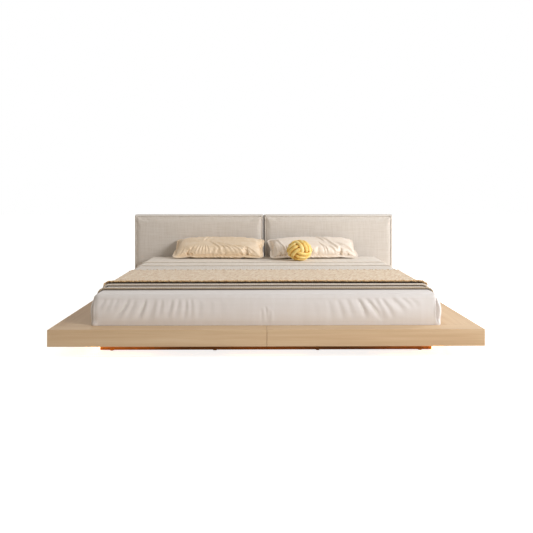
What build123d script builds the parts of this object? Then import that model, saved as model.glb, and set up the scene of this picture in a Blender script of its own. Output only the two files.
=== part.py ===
from build123d import *
from math import atan2, cos, pi, sin
import os

# Low platform bed with a wide ledge all round, a recessed plinth with a light
# line under it, a two-pad headboard, and its mattress and bedding.
# Millimetres. Origin on the floor, in the middle of the whole bed.
# +X is to the right seen from the foot, +Y runs from foot to head, +Z is up.

os.makedirs("parts", exist_ok=True)

# Platform
floor_gap = 70
edge_height = 85
board = 18
arris = 1.5
half_gap = 0.75
foot_ledge = 105
side_ledge = 194

# Inner frame
rail_thickness = 22
bearer_height = 42
centre_bearer_width = 32
soffit_thickness = 5
rib_thickness = 18
side_rib_count = 6
end_rib_count = 4
slat_thickness = 18
slat_width = 80
slat_count = 14
slat_end_gap = 2

# Plinth and light
plinth_foot_inset = 110
plinth_side_inset = 21
plinth_head_inset = 52
plinth_board = 22
glide_height = 4
glide_radius = 10
glide_inset = 60
channel_width = 17
channel_height = 8
channel_wall = 1.5
channel_offset = 26
channel_end_gap = 130
strip_drop = 0.8
driver_length = 180
driver_depth = 42
driver_height = 30
inlet_radius = 7
inlet_depth = 16
port_radius = 12

# Fasteners
hole_clearance = 0.1
slat_screw_radius = 2
slat_screw_head = 4
slat_screw_length = 38
bolt_radius = 4
bolt_head = 8
bolt_head_depth = 4
post_bolt_length = 42
centre_bolt_count = 4
nut_radius = 7
nut_height = 6

# Headboard
headboard_width = 2120
headboard_depth = 140
headboard_gap = 23
headboard_top = 660
panel_setdown = 8
post_width = 70
post_thickness = 30
post_clearance = 1
post_bolt_rise = 90
pad_gap = 4
pad_lift = 3
pad_edge_round = 16
pad_crown = 9
pad_crown_margin = 170
pad_bow = 4
pad_board_thickness = 12
cover_thickness = 2.5
rim_width = 20

# Mattress and the cloths on it
mattress_width = 1800
mattress_length = 1980
mattress_height = 180
mattress_corner = 60
mattress_clearance = 3
side_bulge = 14
end_bulge = 6
bottom_tuck = 7
top_round = 34
sheet_thickness = 3
sheet_hem_rise = 5
blanket_thickness = 3.5
coverlet_thickness = 3.5
top_sheet_thickness = 2
throw_thickness = 8
blanket_start = 166
coverlet_start = 276
throw_start = 339
throw_length = 659
first_fold_start = 1290
second_fold_start = 1495
cloth_head_gap = 60
blanket_drop = 125
coverlet_drop = 112
throw_drop = 138
fold_drop = 100

# Pillows and the round knotted cushion
pillow_height = 300
pillow_flange = 22
pillow_flange_thickness = 2.4
pillow_draw = 9
pillow_front_bulge = 68
pillow_back_bulge = 55
pillow_lean = 26.5
left_pillow_width = 716
left_pillow_off_centre = 4
left_pillow_out = 295
left_pillow_turn = -3
right_pillow_width = 700
right_pillow_off_centre = 45
right_pillow_out = 302
right_pillow_turn = 5
knot_radius = 98
knot_half_height = 81
knot_waist_round = 72
knot_groove = 7
knot_groove_offset = 34
knot_groove_rise = 28
knot_from_pillow_middle = 128
knot_gap = 18
soft_gap = 0.3

# Places worked out from the sizes above
well_side = mattress_width / 2 + sheet_thickness + mattress_clearance
well_length = mattress_length + 2 * (sheet_thickness + mattress_clearance)
half_width = well_side + side_ledge
bed_width = 2 * half_width
bed_length = foot_ledge + well_length + headboard_gap + headboard_depth
front = -bed_length / 2
rear = bed_length / 2
platform_top = floor_gap + edge_height
ledge_bottom = platform_top - board
well_front = front + foot_ledge
well_rear = well_front + well_length
rail_bottom = floor_gap + soffit_thickness
rail_side = well_side + rail_thickness
rail_front = well_front - rail_thickness
rail_rear = well_rear + rail_thickness
slat_bottom = floor_gap + bearer_height
slat_top = slat_bottom + slat_thickness
plinth_side = well_side - plinth_side_inset
plinth_front_y = well_front + plinth_foot_inset
plinth_rear_y = well_rear - plinth_head_inset
plinth_line = plinth_side - plinth_board / 2
bearer_width = 2 * plinth_side_inset + plinth_board
panel_front = rear - board
post_front = panel_front - post_thickness
pad_front = rear - headboard_depth
panel_top = headboard_top - panel_setdown
pad_outer = headboard_width / 2
mattress_middle = (well_front + well_rear) / 2
sheet_top = slat_top + mattress_height + sheet_thickness
blanket_top = sheet_top + blanket_thickness
coverlet_top = blanket_top + coverlet_thickness
bedding_top = coverlet_top + 2 * top_sheet_thickness
left_pillow_x = -(left_pillow_off_centre + left_pillow_width / 2)
left_pillow_y = pad_front - left_pillow_out
right_pillow_x = right_pillow_off_centre + right_pillow_width / 2
right_pillow_y = pad_front - right_pillow_out
knot_x = right_pillow_x - knot_from_pillow_middle
knot_y = right_pillow_y - knot_gap - knot_radius


def block(x0, x1, y0, y1, z0, z1):
    """A straight board between two opposite corners."""
    centre = Pos((x0 + x1) / 2, (y0 + y1) / 2, (z0 + z1) / 2)
    return centre * Box(abs(x1 - x0), abs(y1 - y0), abs(z1 - z0))


def cut_above(part, *planes):
    """What is left of a piece on the lower side of each plane."""
    for plane in planes:
        part = split(part, bisect_by=plane, keep=Keep.BOTTOM)
    return part


def keep_above(part, *planes):
    """What is left of a piece on the upper side of each plane."""
    for plane in planes:
        part = split(part, bisect_by=plane, keep=Keep.TOP)
    return part


def evenly(first, last, count):
    """Equally spaced places from first to last."""
    step = (last - first) / (count - 1)
    return [first + step * i for i in range(count)]


def save(name, solids):
    """Write one node from a solid or a list of separate solids."""
    shape = solids if not isinstance(solids, list) else Compound(solids)
    export_step(shape, "parts/" + name + ".step")


def save_pair(name, solid):
    """Write a left-hand piece and its mirror image on the right."""
    save(name + "_left", solid)
    if isinstance(solid, list):
        save(name + "_right", [mirror(s, about=Plane.YZ) for s in solid])
    else:
        save(name + "_right", mirror(solid, about=Plane.YZ))


def countersunk(radius, head_radius, head_depth, length):
    """A countersunk screw with its head's flat at the origin, pointing down."""
    shank = Pos(0, 0, -length / 2) * Cylinder(radius, length)
    head = Pos(0, 0, -head_depth / 2) * Cone(radius, head_radius, head_depth)
    return (shank + head).solids()[0]


# Planes of the mitres, where a ledge board meets a fascia board
mitre_front = Plane(origin=(0, front, platform_top), z_dir=(0, 1, 1))
mitre_rear = Plane(origin=(0, rear, platform_top), z_dir=(0, -1, 1))
mitre_left = Plane(origin=(-half_width, 0, platform_top), z_dir=(1, 0, 1))
corner_front = Plane(origin=(-half_width, front, 0), z_dir=(1, -1, 0))
corner_rear = Plane(origin=(-half_width, rear, 0), z_dir=(1, 1, 0))

# Planes that ease the sharp outer edges of the boards
ease_front = Plane(origin=(0, front + arris, platform_top), z_dir=(0, -1, 1))
ease_left = Plane(origin=(-half_width + arris, 0, platform_top), z_dir=(-1, 0, 1))
ease_front_corner = Plane(origin=(-half_width + arris, front, 0), z_dir=(-1, -1, 0))
ease_rear_corner = Plane(origin=(-half_width + arris, rear, 0), z_dir=(-1, 1, 0))
ease_seam_top = Plane(origin=(-half_gap - arris, 0, platform_top), z_dir=(1, 0, 1))
ease_seam_front = Plane(origin=(-half_gap - arris, front, 0), z_dir=(1, -1, 0))


def screw_places():
    """The middle of each slat over its two bearers, left half."""
    side = -(well_side - bearer_width / 2)
    centre = -centre_bearer_width / 2
    return [(x, y) for y in slat_middles() for x in (side, centre)]


def slat_middles():
    """Where the slats lie along the bed."""
    inset = slat_width / 2 + slat_end_gap
    return evenly(well_front + inset, well_rear - inset, slat_count)


def slat_screw(spare=0):
    """A slat screw, or its hole when it is given some spare room."""
    return countersunk(
        slat_screw_radius + spare,
        slat_screw_head + spare,
        slat_screw_head - slat_screw_radius,
        slat_screw_length + spare,
    )


def slat_holes():
    """Cutters for the slat screws of the left half."""
    cutter = slat_screw(hole_clearance)
    return [Pos(x, y, slat_top) * cutter for x, y in screw_places()]


def post_places():
    """Headboard posts stand halfway between the rear ribs of the left half."""
    ribs = end_rib_places()
    return [(ribs[0] + ribs[1]) / 2, (ribs[-2] + ribs[-1]) / 2]


def post_bolt_places():
    """Bolts through the rear fascia and through the panel into each post."""
    low = (rail_bottom + ledge_bottom) / 2
    mid = platform_top + post_bolt_rise
    high = panel_top - post_bolt_rise
    return [(x, z) for x in post_places() for z in (low, mid, high)]


def post_bolt(spare=0):
    """A headboard bolt that points forwards, or its hole."""
    bolt = countersunk(
        bolt_radius + spare,
        bolt_head + spare,
        bolt_head_depth,
        post_bolt_length + spare,
    )
    return Rot(-90, 0, 0) * bolt


def post_bolt_holes():
    """Cutters for the headboard bolts of the left half."""
    cutter = post_bolt(hole_clearance)
    return [Pos(x, rear, z) * cutter for x, z in post_bolt_places()]


def end_rib_places():
    """Middles of the ribs in the front and rear ledges, left half."""
    outer = -(rail_side - rib_thickness / 2)
    inner = -(half_gap + rib_thickness / 2)
    return evenly(outer, inner, end_rib_count)


def centre_bolt_places():
    """The centre bolts pass between the first and last slats."""
    middles = slat_middles()
    first = (middles[0] + middles[1]) / 2
    last = (middles[-2] + middles[-1]) / 2
    return evenly(first, last, centre_bolt_count)


def make_plinth():
    """Dark plinth: front and rear boards with side boards and a centre board."""
    inner_front = plinth_front_y + plinth_board
    inner_rear = plinth_rear_y - plinth_board
    save("plinth_front", block(
        -plinth_side, plinth_side, plinth_front_y, inner_front, glide_height, floor_gap))
    rear_board = block(
        -plinth_side, plinth_side, inner_rear, plinth_rear_y, glide_height, floor_gap)
    port = Pos(driver_middle()) * Rot(90, 0, 0) * Cylinder(port_radius, 4 * plinth_board)
    save("plinth_rear", rear_board - port)
    save_pair("plinth", block(
        -plinth_side, -plinth_side + plinth_board, inner_front, inner_rear,
        glide_height, floor_gap))
    save("plinth_centre", block(
        -plinth_board / 2, plinth_board / 2, inner_front, inner_rear,
        glide_height, floor_gap))


def make_glides():
    """Round plastic glides nailed under the plinth boards."""
    glide = Cylinder(glide_radius, glide_height)
    across = evenly(-plinth_side + glide_inset, plinth_side - glide_inset, 4)
    along = evenly(plinth_front_y + 3 * glide_inset, plinth_rear_y - 3 * glide_inset, 4)
    ends = (plinth_front_y + plinth_board / 2, plinth_rear_y - plinth_board / 2)
    places = [(x, y) for y in ends for x in across]
    places += [(x, y) for x in (-plinth_line, 0, plinth_line) for y in along]
    save("plinth_glides", [Pos(x, y, glide_height / 2) * glide for x, y in places])


def driver_middle():
    """The light driver hangs inside the plinth, behind its left end."""
    x = -plinth_side / 2
    y = plinth_rear_y - plinth_board - driver_depth / 2
    z = floor_gap - driver_height / 2 - channel_height
    return (x, y, z)


def make_light():
    """Channels and light strips under the side ledges, and their driver."""
    x = -(plinth_side + channel_offset)
    y0 = front + channel_end_gap
    y1 = rear - channel_end_gap
    low = floor_gap - channel_height
    outer = block(x - channel_width / 2, x + channel_width / 2, y0, y1, low, floor_gap)
    inner_half = channel_width / 2 - channel_wall
    groove = block(
        x - inner_half, x + inner_half, y0, y1, low - 1, floor_gap - channel_wall)
    channel = outer - groove
    strip = block(
        x - inner_half, x + inner_half, y0, y1, low + strip_drop, floor_gap - channel_wall)
    save("light_channel", [channel, mirror(channel, about=Plane.YZ)])
    save("light_strip", [strip, mirror(strip, about=Plane.YZ)])
    middle = driver_middle()
    case = Pos(middle) * Box(driver_length, driver_depth, driver_height)
    back = middle[1] + driver_depth / 2
    socket = Pos(middle[0], back - inlet_depth / 2, middle[2]) * Rot(90, 0, 0) * Cylinder(
        inlet_radius, inlet_depth)
    pin = Pos(middle[0], back - inlet_depth / 2, middle[2]) * Rot(90, 0, 0) * Cylinder(
        inlet_radius / 4, inlet_depth)
    save("light_driver", fillet(case.edges().filter_by(Axis.Y), 3) - socket + pin)


def make_bearers():
    """Bearers on the plinth that carry the slats, with holes for their screws."""
    side = block(
        -well_side, -well_side + bearer_width, well_front, well_rear, floor_gap, slat_bottom)
    centre = block(
        -centre_bearer_width, 0, well_front, well_rear, floor_gap, slat_bottom)
    middle_z = floor_gap + bearer_height / 2
    hole = Rot(0, 90, 0) * Cylinder(bolt_radius + hole_clearance, 3 * centre_bearer_width)
    centre -= [Pos(0, y, middle_z) * hole for y in centre_bolt_places()]
    side -= [h for h in slat_holes() if h.center().X < -well_side / 2]
    centre -= [h for h in slat_holes() if h.center().X > -well_side / 2]
    save_pair("side_bearer", side)
    save_pair("centre_bearer", centre)


def make_centre_bolts():
    """Bolts with nuts that pull the two halves of the bed together."""
    middle_z = floor_gap + bearer_height / 2
    shank = Rot(0, 90, 0) * Cylinder(bolt_radius, 2 * centre_bearer_width)
    head = Rot(0, 90, 0) * Cylinder(nut_radius, nut_height)
    offset = centre_bearer_width + nut_height / 2
    bolt = (shank + Pos(-offset, 0, 0) * head + Pos(offset, 0, 0) * head).solids()[0]
    save("centre_bolts", [Pos(0, y, middle_z) * bolt for y in centre_bolt_places()])


def make_rails():
    """Upright rails round the mattress well, under the ledges' inner edges."""
    save_pair("side_rail", block(
        -rail_side, -well_side, well_front, well_rear, rail_bottom, ledge_bottom))
    save_pair("foot_rail", block(
        -rail_side, -half_gap, rail_front, well_front, rail_bottom, ledge_bottom))
    save_pair("head_rail", block(
        -rail_side, -half_gap, well_rear, rail_rear, rail_bottom, ledge_bottom))


def make_ribs():
    """Ribs that hold the ledges out to the fascias, left half and right half."""
    half = rib_thickness / 2
    ribs = []
    side_middles = evenly(
        rail_front + rail_thickness / 2, rail_rear - rail_thickness / 2, side_rib_count)
    for y in side_middles:
        ribs.append(block(
            -half_width + board, -rail_side, y - half, y + half, rail_bottom, ledge_bottom))
    for x in end_rib_places():
        ribs.append(block(
            x - half, x + half, front + board, rail_front, rail_bottom, ledge_bottom))
        ribs.append(block(
            x - half, x + half, rail_rear, panel_front, rail_bottom, ledge_bottom))
    save_pair("ledge_ribs", ribs)


def make_soffits():
    """Thin boards that close the underside of the ledges."""
    inner = half_width - board
    save("soffit_front", block(
        -inner, inner, front + board, well_front, floor_gap, rail_bottom))
    save("soffit_rear", block(
        -inner, inner, well_rear, panel_front, floor_gap, rail_bottom))
    save_pair("soffit", block(
        -inner, -well_side, well_front, well_rear, floor_gap, rail_bottom))


def make_slats():
    """Flat slats across each half, screwed to their bearers."""
    solids = []
    holes = slat_holes()
    for y in slat_middles():
        slat = block(
            -well_side + slat_end_gap, -half_gap, y - slat_width / 2, y + slat_width / 2,
            slat_bottom, slat_top)
        slat = fillet(slat.edges().filter_by(Axis.X), 3)
        solids.append(slat - [h for h in holes if abs(h.center().Y - y) < slat_width / 2])
    save_pair("slats", solids)
    screw = slat_screw()
    left = [Pos(x, y, slat_top) * screw for x, y in screw_places()]
    save("slat_screws", left + [mirror(s, about=Plane.YZ) for s in left])


def make_fascias():
    """Upright edge boards, mitred to each other and to the ledges."""
    front_board = block(
        -half_width, -half_gap, front, front + board, floor_gap, platform_top)
    front_board = keep_above(front_board, corner_front)
    save_pair("front_fascia", cut_above(
        front_board, mitre_front, ease_front, ease_front_corner, ease_seam_front))
    rear_board = block(
        -half_width, -half_gap, panel_front, rear, floor_gap, platform_top)
    rear_board = keep_above(rear_board, corner_rear)
    rear_board = cut_above(rear_board, mitre_rear, ease_rear_corner)
    save_pair("rear_fascia", rear_board - post_bolt_holes())
    side_board = block(
        -half_width, -half_width + board, front, rear, floor_gap, platform_top)
    save_pair("side_fascia", cut_above(
        side_board, mitre_left, corner_front, corner_rear,
        ease_left, ease_front_corner, ease_rear_corner))


def make_ledges():
    """Ledge boards round the mattress, flush with the platform's top."""
    foot = block(
        -half_width, -half_gap, front, well_front, ledge_bottom, platform_top)
    foot = keep_above(foot, mitre_front, mitre_left)
    save_pair("front_ledge", cut_above(
        foot, ease_front, ease_left, ease_front_corner, ease_seam_top))
    side = block(
        -half_width, -well_side, well_front, well_rear, ledge_bottom, platform_top)
    save_pair("side_ledge", cut_above(keep_above(side, mitre_left), ease_left))
    head = block(
        -half_width, -half_gap, well_rear, rear, ledge_bottom, platform_top)
    head = keep_above(head, mitre_rear, mitre_left)
    head = cut_above(head, ease_left, ease_rear_corner)
    half_slot = post_width / 2 + post_clearance
    for x in post_places():
        head -= block(
            x - half_slot, x + half_slot, post_front - post_clearance,
            panel_front + post_clearance, ledge_bottom - 1, platform_top + 1)
    save_pair("rear_ledge", head)


def make_headboard():
    """Back panels and the posts that tie them to the rear fascia."""
    panel = block(-pad_outer, -half_gap, panel_front, rear, platform_top, panel_top)
    save_pair("headboard_panel", panel - post_bolt_holes())
    posts = []
    for x in post_places():
        post = block(
            x - post_width / 2, x + post_width / 2, post_front, panel_front,
            rail_bottom, panel_top - post_bolt_rise / 2)
        posts.append(post - post_bolt_holes())
    save("headboard_posts", posts + [mirror(p, about=Plane.YZ) for p in posts])
    bolt = post_bolt()
    left = [Pos(x, rear, z) * bolt for x, z in post_bolt_places()]
    save("headboard_bolts", left + [mirror(b, about=Plane.YZ) for b in left])


def pad_section(y, inset):
    """Upright outline of the left pad at one depth, with bowed top and sides."""
    x0 = -pad_outer + inset
    x1 = -pad_gap / 2 - inset
    z0 = platform_top + pad_lift + inset
    z1 = headboard_top - inset
    xm = (x0 + x1) / 2
    zm = (z0 + z1) / 2
    bow = pad_bow / 2
    edges = [
        Line((x0, y, z0), (x1, y, z0)),
        ThreePointArc((x1, y, z0), (x1 + bow / 4, y, zm), (x1, y, z1)),
        ThreePointArc((x1, y, z1), (xm, y, z1 + bow), (x0, y, z1)),
        ThreePointArc((x0, y, z1), (x0 - bow / 4, y, zm), (x0, y, z0)),
    ]
    return make_face(edges)


def pad_form(inset, back, set_in=0):
    """Crowned pad: straight sides, a rounded edge and a fuller middle."""
    face = pad_front + set_in
    shoulder = face + pad_crown + pad_edge_round
    box_part = loft([pad_section(back, inset), pad_section(shoulder, inset)])
    edge = pad_edge_round
    rounding = loft([
        pad_section(shoulder, inset),
        pad_section(shoulder - 0.5 * edge, inset + 0.13 * edge),
        pad_section(shoulder - 0.87 * edge, inset + 0.5 * edge),
        pad_section(face + pad_crown, inset + edge),
    ], ruled=True)
    crown = loft([
        pad_section(face + pad_crown, inset + edge),
        pad_section(face + 0.45 * pad_crown, inset + edge + 0.3 * pad_crown_margin),
        pad_section(face, inset + pad_crown_margin),
    ], ruled=True)
    return box_part + rounding + crown


def make_pads():
    """Upholstered pads: a tray board, foam in front of it and a fabric cover."""
    back = panel_front
    tray_front = post_front - pad_board_thickness
    outer = pad_form(0, back)
    inner = pad_form(cover_thickness, back, cover_thickness)
    lower = platform_top + pad_lift
    behind = block(
        -bed_width, 0, tray_front, back + 1, lower - 1, headboard_top + pad_crown)
    cover = outer - inner
    open_bottom = block(
        -pad_outer + rim_width, -pad_gap / 2 - rim_width, post_front, back + 1,
        lower - 1, lower + rim_width)
    save_pair("pad_cover", (cover - open_bottom).solids()[0])
    save_pair("pad_foam", (inner - behind).solids()[0])
    tray = inner & behind
    hollow = block(
        -pad_outer + rim_width, -pad_gap / 2 - rim_width, post_front, back + 1,
        lower - 1, headboard_top - rim_width)
    save_pair("pad_board", (tray - hollow).solids()[0])


def bedding_section(z, outset, grow):
    """Rounded outline of the mattress at one height, grown by the cloths."""
    reach = outset / side_bulge * end_bulge if outset > 0 else outset
    width = mattress_width + 2 * (outset + grow)
    length = mattress_length + 2 * (reach + grow)
    outline = RectangleRounded(width, length, mattress_corner + grow)
    return Pos(0, mattress_middle, z) * outline


def bedding_form(grow):
    """The mattress with its bulging sides and rounded edges, grown by grow."""
    bottom = slat_top
    top = slat_top + mattress_height + grow
    shoulder = side_bulge / 3
    rings = [
        (bottom, -bottom_tuck),
        (platform_top, 0),
        (bottom + mattress_height / 2, side_bulge),
        (top - top_round, shoulder),
        (top - 0.3 * top_round, shoulder - 0.3 * top_round),
        (top, shoulder - top_round),
    ]
    return loft([bedding_section(z, outset, grow) for z, outset in rings])


def cloth(under, thickness, start, end, drop):
    """A cloth laid over the bed and hanging down both sides."""
    top = slat_top + mattress_height + under + thickness
    region = block(-bed_width, bed_width, start, end, top - drop, top + 1)
    return ((bedding_form(under + thickness) & region) - bedding_form(under)).solids()[0]


def make_bedding():
    """Mattress, fitted sheet, blanket, coverlet, turned-down sheet and throw."""
    save("mattress", bedding_form(0))
    hem = block(
        -bed_width, bed_width, -bed_length, bed_length, slat_top - 1, slat_top + sheet_hem_rise)
    save("fitted_sheet", (bedding_form(sheet_thickness) - hem - bedding_form(0)).solids()[0])
    head_end = well_rear - cloth_head_gap
    grow = sheet_thickness
    save("blanket", cloth(
        grow, blanket_thickness, well_front + blanket_start, head_end, blanket_drop))
    grow += blanket_thickness
    save("coverlet", cloth(
        grow, coverlet_thickness, well_front + coverlet_start, head_end, coverlet_drop))
    grow += coverlet_thickness
    save("throw", cloth(
        grow, throw_thickness, well_front + throw_start,
        well_front + throw_start + throw_length,
        throw_drop))
    lower_fold = cloth(
        grow, top_sheet_thickness, well_front + first_fold_start, head_end, fold_drop)
    grow += top_sheet_thickness
    upper_fold = cloth(
        grow, top_sheet_thickness, well_front + second_fold_start, head_end, fold_drop)
    save("top_sheet", [lower_fold, upper_fold])


def drawn_outline(width, height, draw):
    """A pillow's outline: four corners with the sides drawn in between them."""
    x = width / 2
    y = height / 2
    return make_face([
        ThreePointArc((-x, -y), (0, -y + draw), (x, -y)),
        ThreePointArc((x, -y), (x - draw, 0), (x, y)),
        ThreePointArc((x, y), (0, y - draw), (-x, y)),
        ThreePointArc((-x, y), (-x + draw, 0), (-x, -y)),
    ])


def pillow_half(width, bulge):
    """One crowned face of a pillow, from the seam to its fullest part."""
    seam_width = width - 2 * pillow_flange
    seam_height = pillow_height - 2 * pillow_flange
    steps = [(0, 0, 1), (0.45, 0.16, 0.8), (0.8, 0.4, 0.5), (1, 0.75, 0.2)]
    sections = []
    for rise, inset, draw in steps:
        margin = inset * seam_height
        outline = drawn_outline(
            seam_width - margin, seam_height - margin, draw * pillow_draw)
        sections.append(Pos(0, 0, rise * bulge) * outline)
    return loft(sections)


def make_pillow(name, width, x, y, turn):
    """A flanged pillow that leans back from its front edge."""
    half_sheet = pillow_flange_thickness / 2
    flange = Pos(0, 0, -half_sheet) * extrude(
        drawn_outline(width, pillow_height, pillow_draw), pillow_flange_thickness)
    body = flange + pillow_half(width, pillow_front_bulge)
    body += pillow_half(width, -pillow_back_bulge)
    body = Rot(0, 0, turn) * Rot(pillow_lean, 0, 0) * Pos(0, pillow_height / 2, 0) * body
    lift = bedding_top + soft_gap - body.bounding_box().min.Z
    save(name, (Pos(x, y, lift) * body).solids()[0])


def flattened_ball(shrink):
    """A ball of two flatter caps and a rounder waist, all arcs tangent."""
    waist = knot_radius - knot_waist_round
    spare = knot_half_height - knot_waist_round
    drop = (waist**2 - spare**2) / (2 * spare)
    waist_round = knot_waist_round - shrink
    cap_round = knot_half_height + drop - shrink
    meet = atan2(drop, waist)
    middle = (pi / 2 + meet) / 2
    x = waist + waist_round * cos(meet)
    z = waist_round * sin(meet)
    cap_x = cap_round * cos(middle)
    cap_z = cap_round * sin(middle) - drop
    pole = cap_round - drop
    half = make_face([
        ThreePointArc((0, -pole), (cap_x, -cap_z), (x, -z)),
        ThreePointArc((x, -z), (waist + waist_round, 0), (x, z)),
        ThreePointArc((x, z), (cap_x, cap_z), (0, pole)),
        Line((0, pole), (0, -pole)),
    ])
    return revolve(Plane.XZ * half, Axis.Z, 360)


def make_knot_cushion():
    """A flattened ball with the furrows between its knotted strands."""
    size = 3 * knot_radius
    strands = flattened_ball(0)
    for side in (-1, 1):
        strands -= Pos(side * knot_groove_offset, 0, 0) * Box(knot_groove, size, size)
        strands -= Pos(0, side * knot_groove_offset, 0) * Box(size, knot_groove, size)
        strands -= Pos(0, 0, side * knot_groove_rise) * Box(size, size, knot_groove)
    ball = (strands + flattened_ball(knot_groove)).solids()[0]
    save("knot_cushion", Pos(knot_x, knot_y, bedding_top + soft_gap + knot_half_height) * ball)


make_plinth()
make_glides()
make_light()
make_bearers()
make_centre_bolts()
make_rails()
make_ribs()
make_soffits()
make_slats()
make_fascias()
make_ledges()
make_headboard()
make_pads()
make_bedding()
make_pillow(
    "pillow_left", left_pillow_width, left_pillow_x, left_pillow_y, left_pillow_turn)
make_pillow(
    "pillow_right", right_pillow_width, right_pillow_x, right_pillow_y, right_pillow_turn)
make_knot_cushion()
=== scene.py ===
from math import cos, pi, radians, sin

import bpy
import numpy as np
from mathutils import Matrix, Vector


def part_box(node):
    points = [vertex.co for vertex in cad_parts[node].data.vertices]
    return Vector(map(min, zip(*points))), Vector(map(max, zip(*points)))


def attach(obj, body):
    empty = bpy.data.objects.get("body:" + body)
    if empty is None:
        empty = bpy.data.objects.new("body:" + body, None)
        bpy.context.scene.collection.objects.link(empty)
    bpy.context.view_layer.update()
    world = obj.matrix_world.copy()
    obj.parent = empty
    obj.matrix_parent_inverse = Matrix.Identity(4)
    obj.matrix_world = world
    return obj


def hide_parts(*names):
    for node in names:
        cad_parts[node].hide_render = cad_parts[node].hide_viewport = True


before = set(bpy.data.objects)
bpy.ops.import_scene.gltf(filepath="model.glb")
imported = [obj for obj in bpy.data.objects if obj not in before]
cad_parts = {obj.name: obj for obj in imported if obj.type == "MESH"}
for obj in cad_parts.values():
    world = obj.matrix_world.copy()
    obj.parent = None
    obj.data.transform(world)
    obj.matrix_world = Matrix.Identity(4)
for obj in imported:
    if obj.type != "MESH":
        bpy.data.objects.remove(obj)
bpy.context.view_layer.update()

# Low platform bed with a lit plinth, a two-pad headboard, its mattress and bedding.
# Metres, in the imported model's frame: +X to the right, +Y from foot to head, +Z up.

mm = 0.001

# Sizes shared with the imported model
mattress_lo, mattress_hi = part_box("mattress")
mattress_half = 900 * mm
mattress_middle = (mattress_lo.y + mattress_hi.y) / 2
mattress_half_length = 990 * mm
mattress_corner = 34 * mm
body_corner = 100 * mm
mattress_top = mattress_hi.z
platform_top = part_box("front_ledge_left")[1].z
side_bulge = 14 * mm
end_bulge = 6 * mm
bulge_middle = mattress_lo.z + 90 * mm
bulge_reach = 65 * mm
bottom_tuck = 7 * mm
top_round = 24 * mm
sheet_thickness = 3 * mm
blanket_thickness = 3.5 * mm
coverlet_thickness = 3.5 * mm
turned_thickness = 2 * mm
turned_edge_lift = 4.5 * mm
pillow_height = 300 * mm
pillow_flange = 22 * mm
pillow_lean = radians(26.5)
ridge_share = 0.65


# Working with meshes

def choose(piece):
    """Makes a piece the only selected and active object."""
    bpy.ops.object.select_all(action="DESELECT")
    piece.select_set(True)
    bpy.context.view_layer.objects.active = piece
    return piece


def named(name):
    """Gives the object that an operator has just made its name."""
    piece = bpy.context.object
    piece.name = piece.data.name = name
    return piece


def points_of(piece):
    """The places of a mesh's points as rows of x, y, z."""
    flat = np.empty(len(piece.data.vertices) * 3)
    piece.data.vertices.foreach_get("co", flat)
    return flat.reshape(-1, 3)


def normals_of(piece):
    """The way that each point of a mesh faces."""
    flat = np.empty(len(piece.data.vertices) * 3, np.float32)
    piece.data.vertex_normals.foreach_get("vector", flat)
    return flat.reshape(-1, 3).astype(float)


def set_points(piece, places):
    """Moves a mesh's points."""
    piece.data.vertices.foreach_set("co", np.asarray(places, float).ravel())
    piece.data.update()
    return piece


def edit(piece, *steps):
    """Runs edit-mode operators on the whole of a piece, each given with its settings."""
    choose(piece)
    bpy.ops.object.mode_set(mode="EDIT")
    bpy.ops.mesh.select_all(action="SELECT")
    for operator, settings in steps:
        operator(**settings)
    bpy.ops.object.mode_set(mode="OBJECT")
    return piece


def close_seams(piece):
    """Merges the points that meet at a seam and turns every face outwards."""
    return edit(
        piece,
        (bpy.ops.mesh.remove_doubles, {"threshold": 0.02 * mm}),
        (bpy.ops.mesh.normals_make_consistent, {"inside": False}),
    )


def modify(piece, kind, **settings):
    """Adds a modifier and applies it."""
    choose(piece)
    modifier = piece.modifiers.new(kind.lower(), kind)
    for name, value in settings.items():
        setattr(modifier, name, value)
    bpy.ops.object.modifier_apply(modifier=modifier.name)
    return piece


def smooth(piece, angle=40):
    """Smooth shading that keeps edges sharper than the angle."""
    choose(piece)
    bpy.ops.object.shade_smooth_by_angle(angle=radians(angle))
    return piece


def join(name, pieces):
    """Joins pieces into one."""
    bpy.ops.object.select_all(action="DESELECT")
    for piece in pieces:
        piece.select_set(True)
    bpy.context.view_layer.objects.active = pieces[0]
    bpy.ops.object.join()
    return named(name)


def shaped_grid(name, columns, rows, place, cut=None):
    """Adds a flat grid and moves each point (u, v), both 0 to 1, to where place says.

    cut is the cloth's flat width and length, which its UV map then has in metres."""
    bpy.ops.object.select_all(action="DESELECT")
    bpy.ops.mesh.primitive_grid_add(x_subdivisions=columns, y_subdivisions=rows, size=2)
    piece = named(name)
    flat = (points_of(piece) + 1) / 2
    set_points(piece, place(flat[:, 0], flat[:, 1]))
    if cut:
        layer = piece.data.uv_layers[0].data
        uv = np.empty(len(layer) * 2)
        layer.foreach_get("uv", uv)
        layer.foreach_set("uv", (uv.reshape(-1, 2) * np.array(cut)).ravel())
    return piece


def swept_ring(name, centres, outward, across, section):
    """A section of (outward, across) offsets carried round a closed path."""
    path_count = len(centres)
    section = np.array(section)
    section_count = len(section)

    def place(u, v):
        i = np.round(u * path_count).astype(int) % path_count
        j = np.round(v * section_count).astype(int) % section_count
        a = section[j, 0][:, None]
        b = section[j, 1][:, None]
        return centres[i] + a * outward[i] + b * across[i]

    return close_seams(shaped_grid(name, path_count, section_count, place))


def round_section(radius, count, squash=1.0):
    """The points of a round or oval section."""
    turns = [2 * pi * i / count for i in range(count)]
    return [(radius * squash * cos(t), radius * sin(t)) for t in turns]


def ease(value):
    """Rises smoothly from 0 to 1 as value does, and stays there."""
    t = np.clip(value, 0, 1)
    return t * t * (3 - 2 * t)


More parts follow.
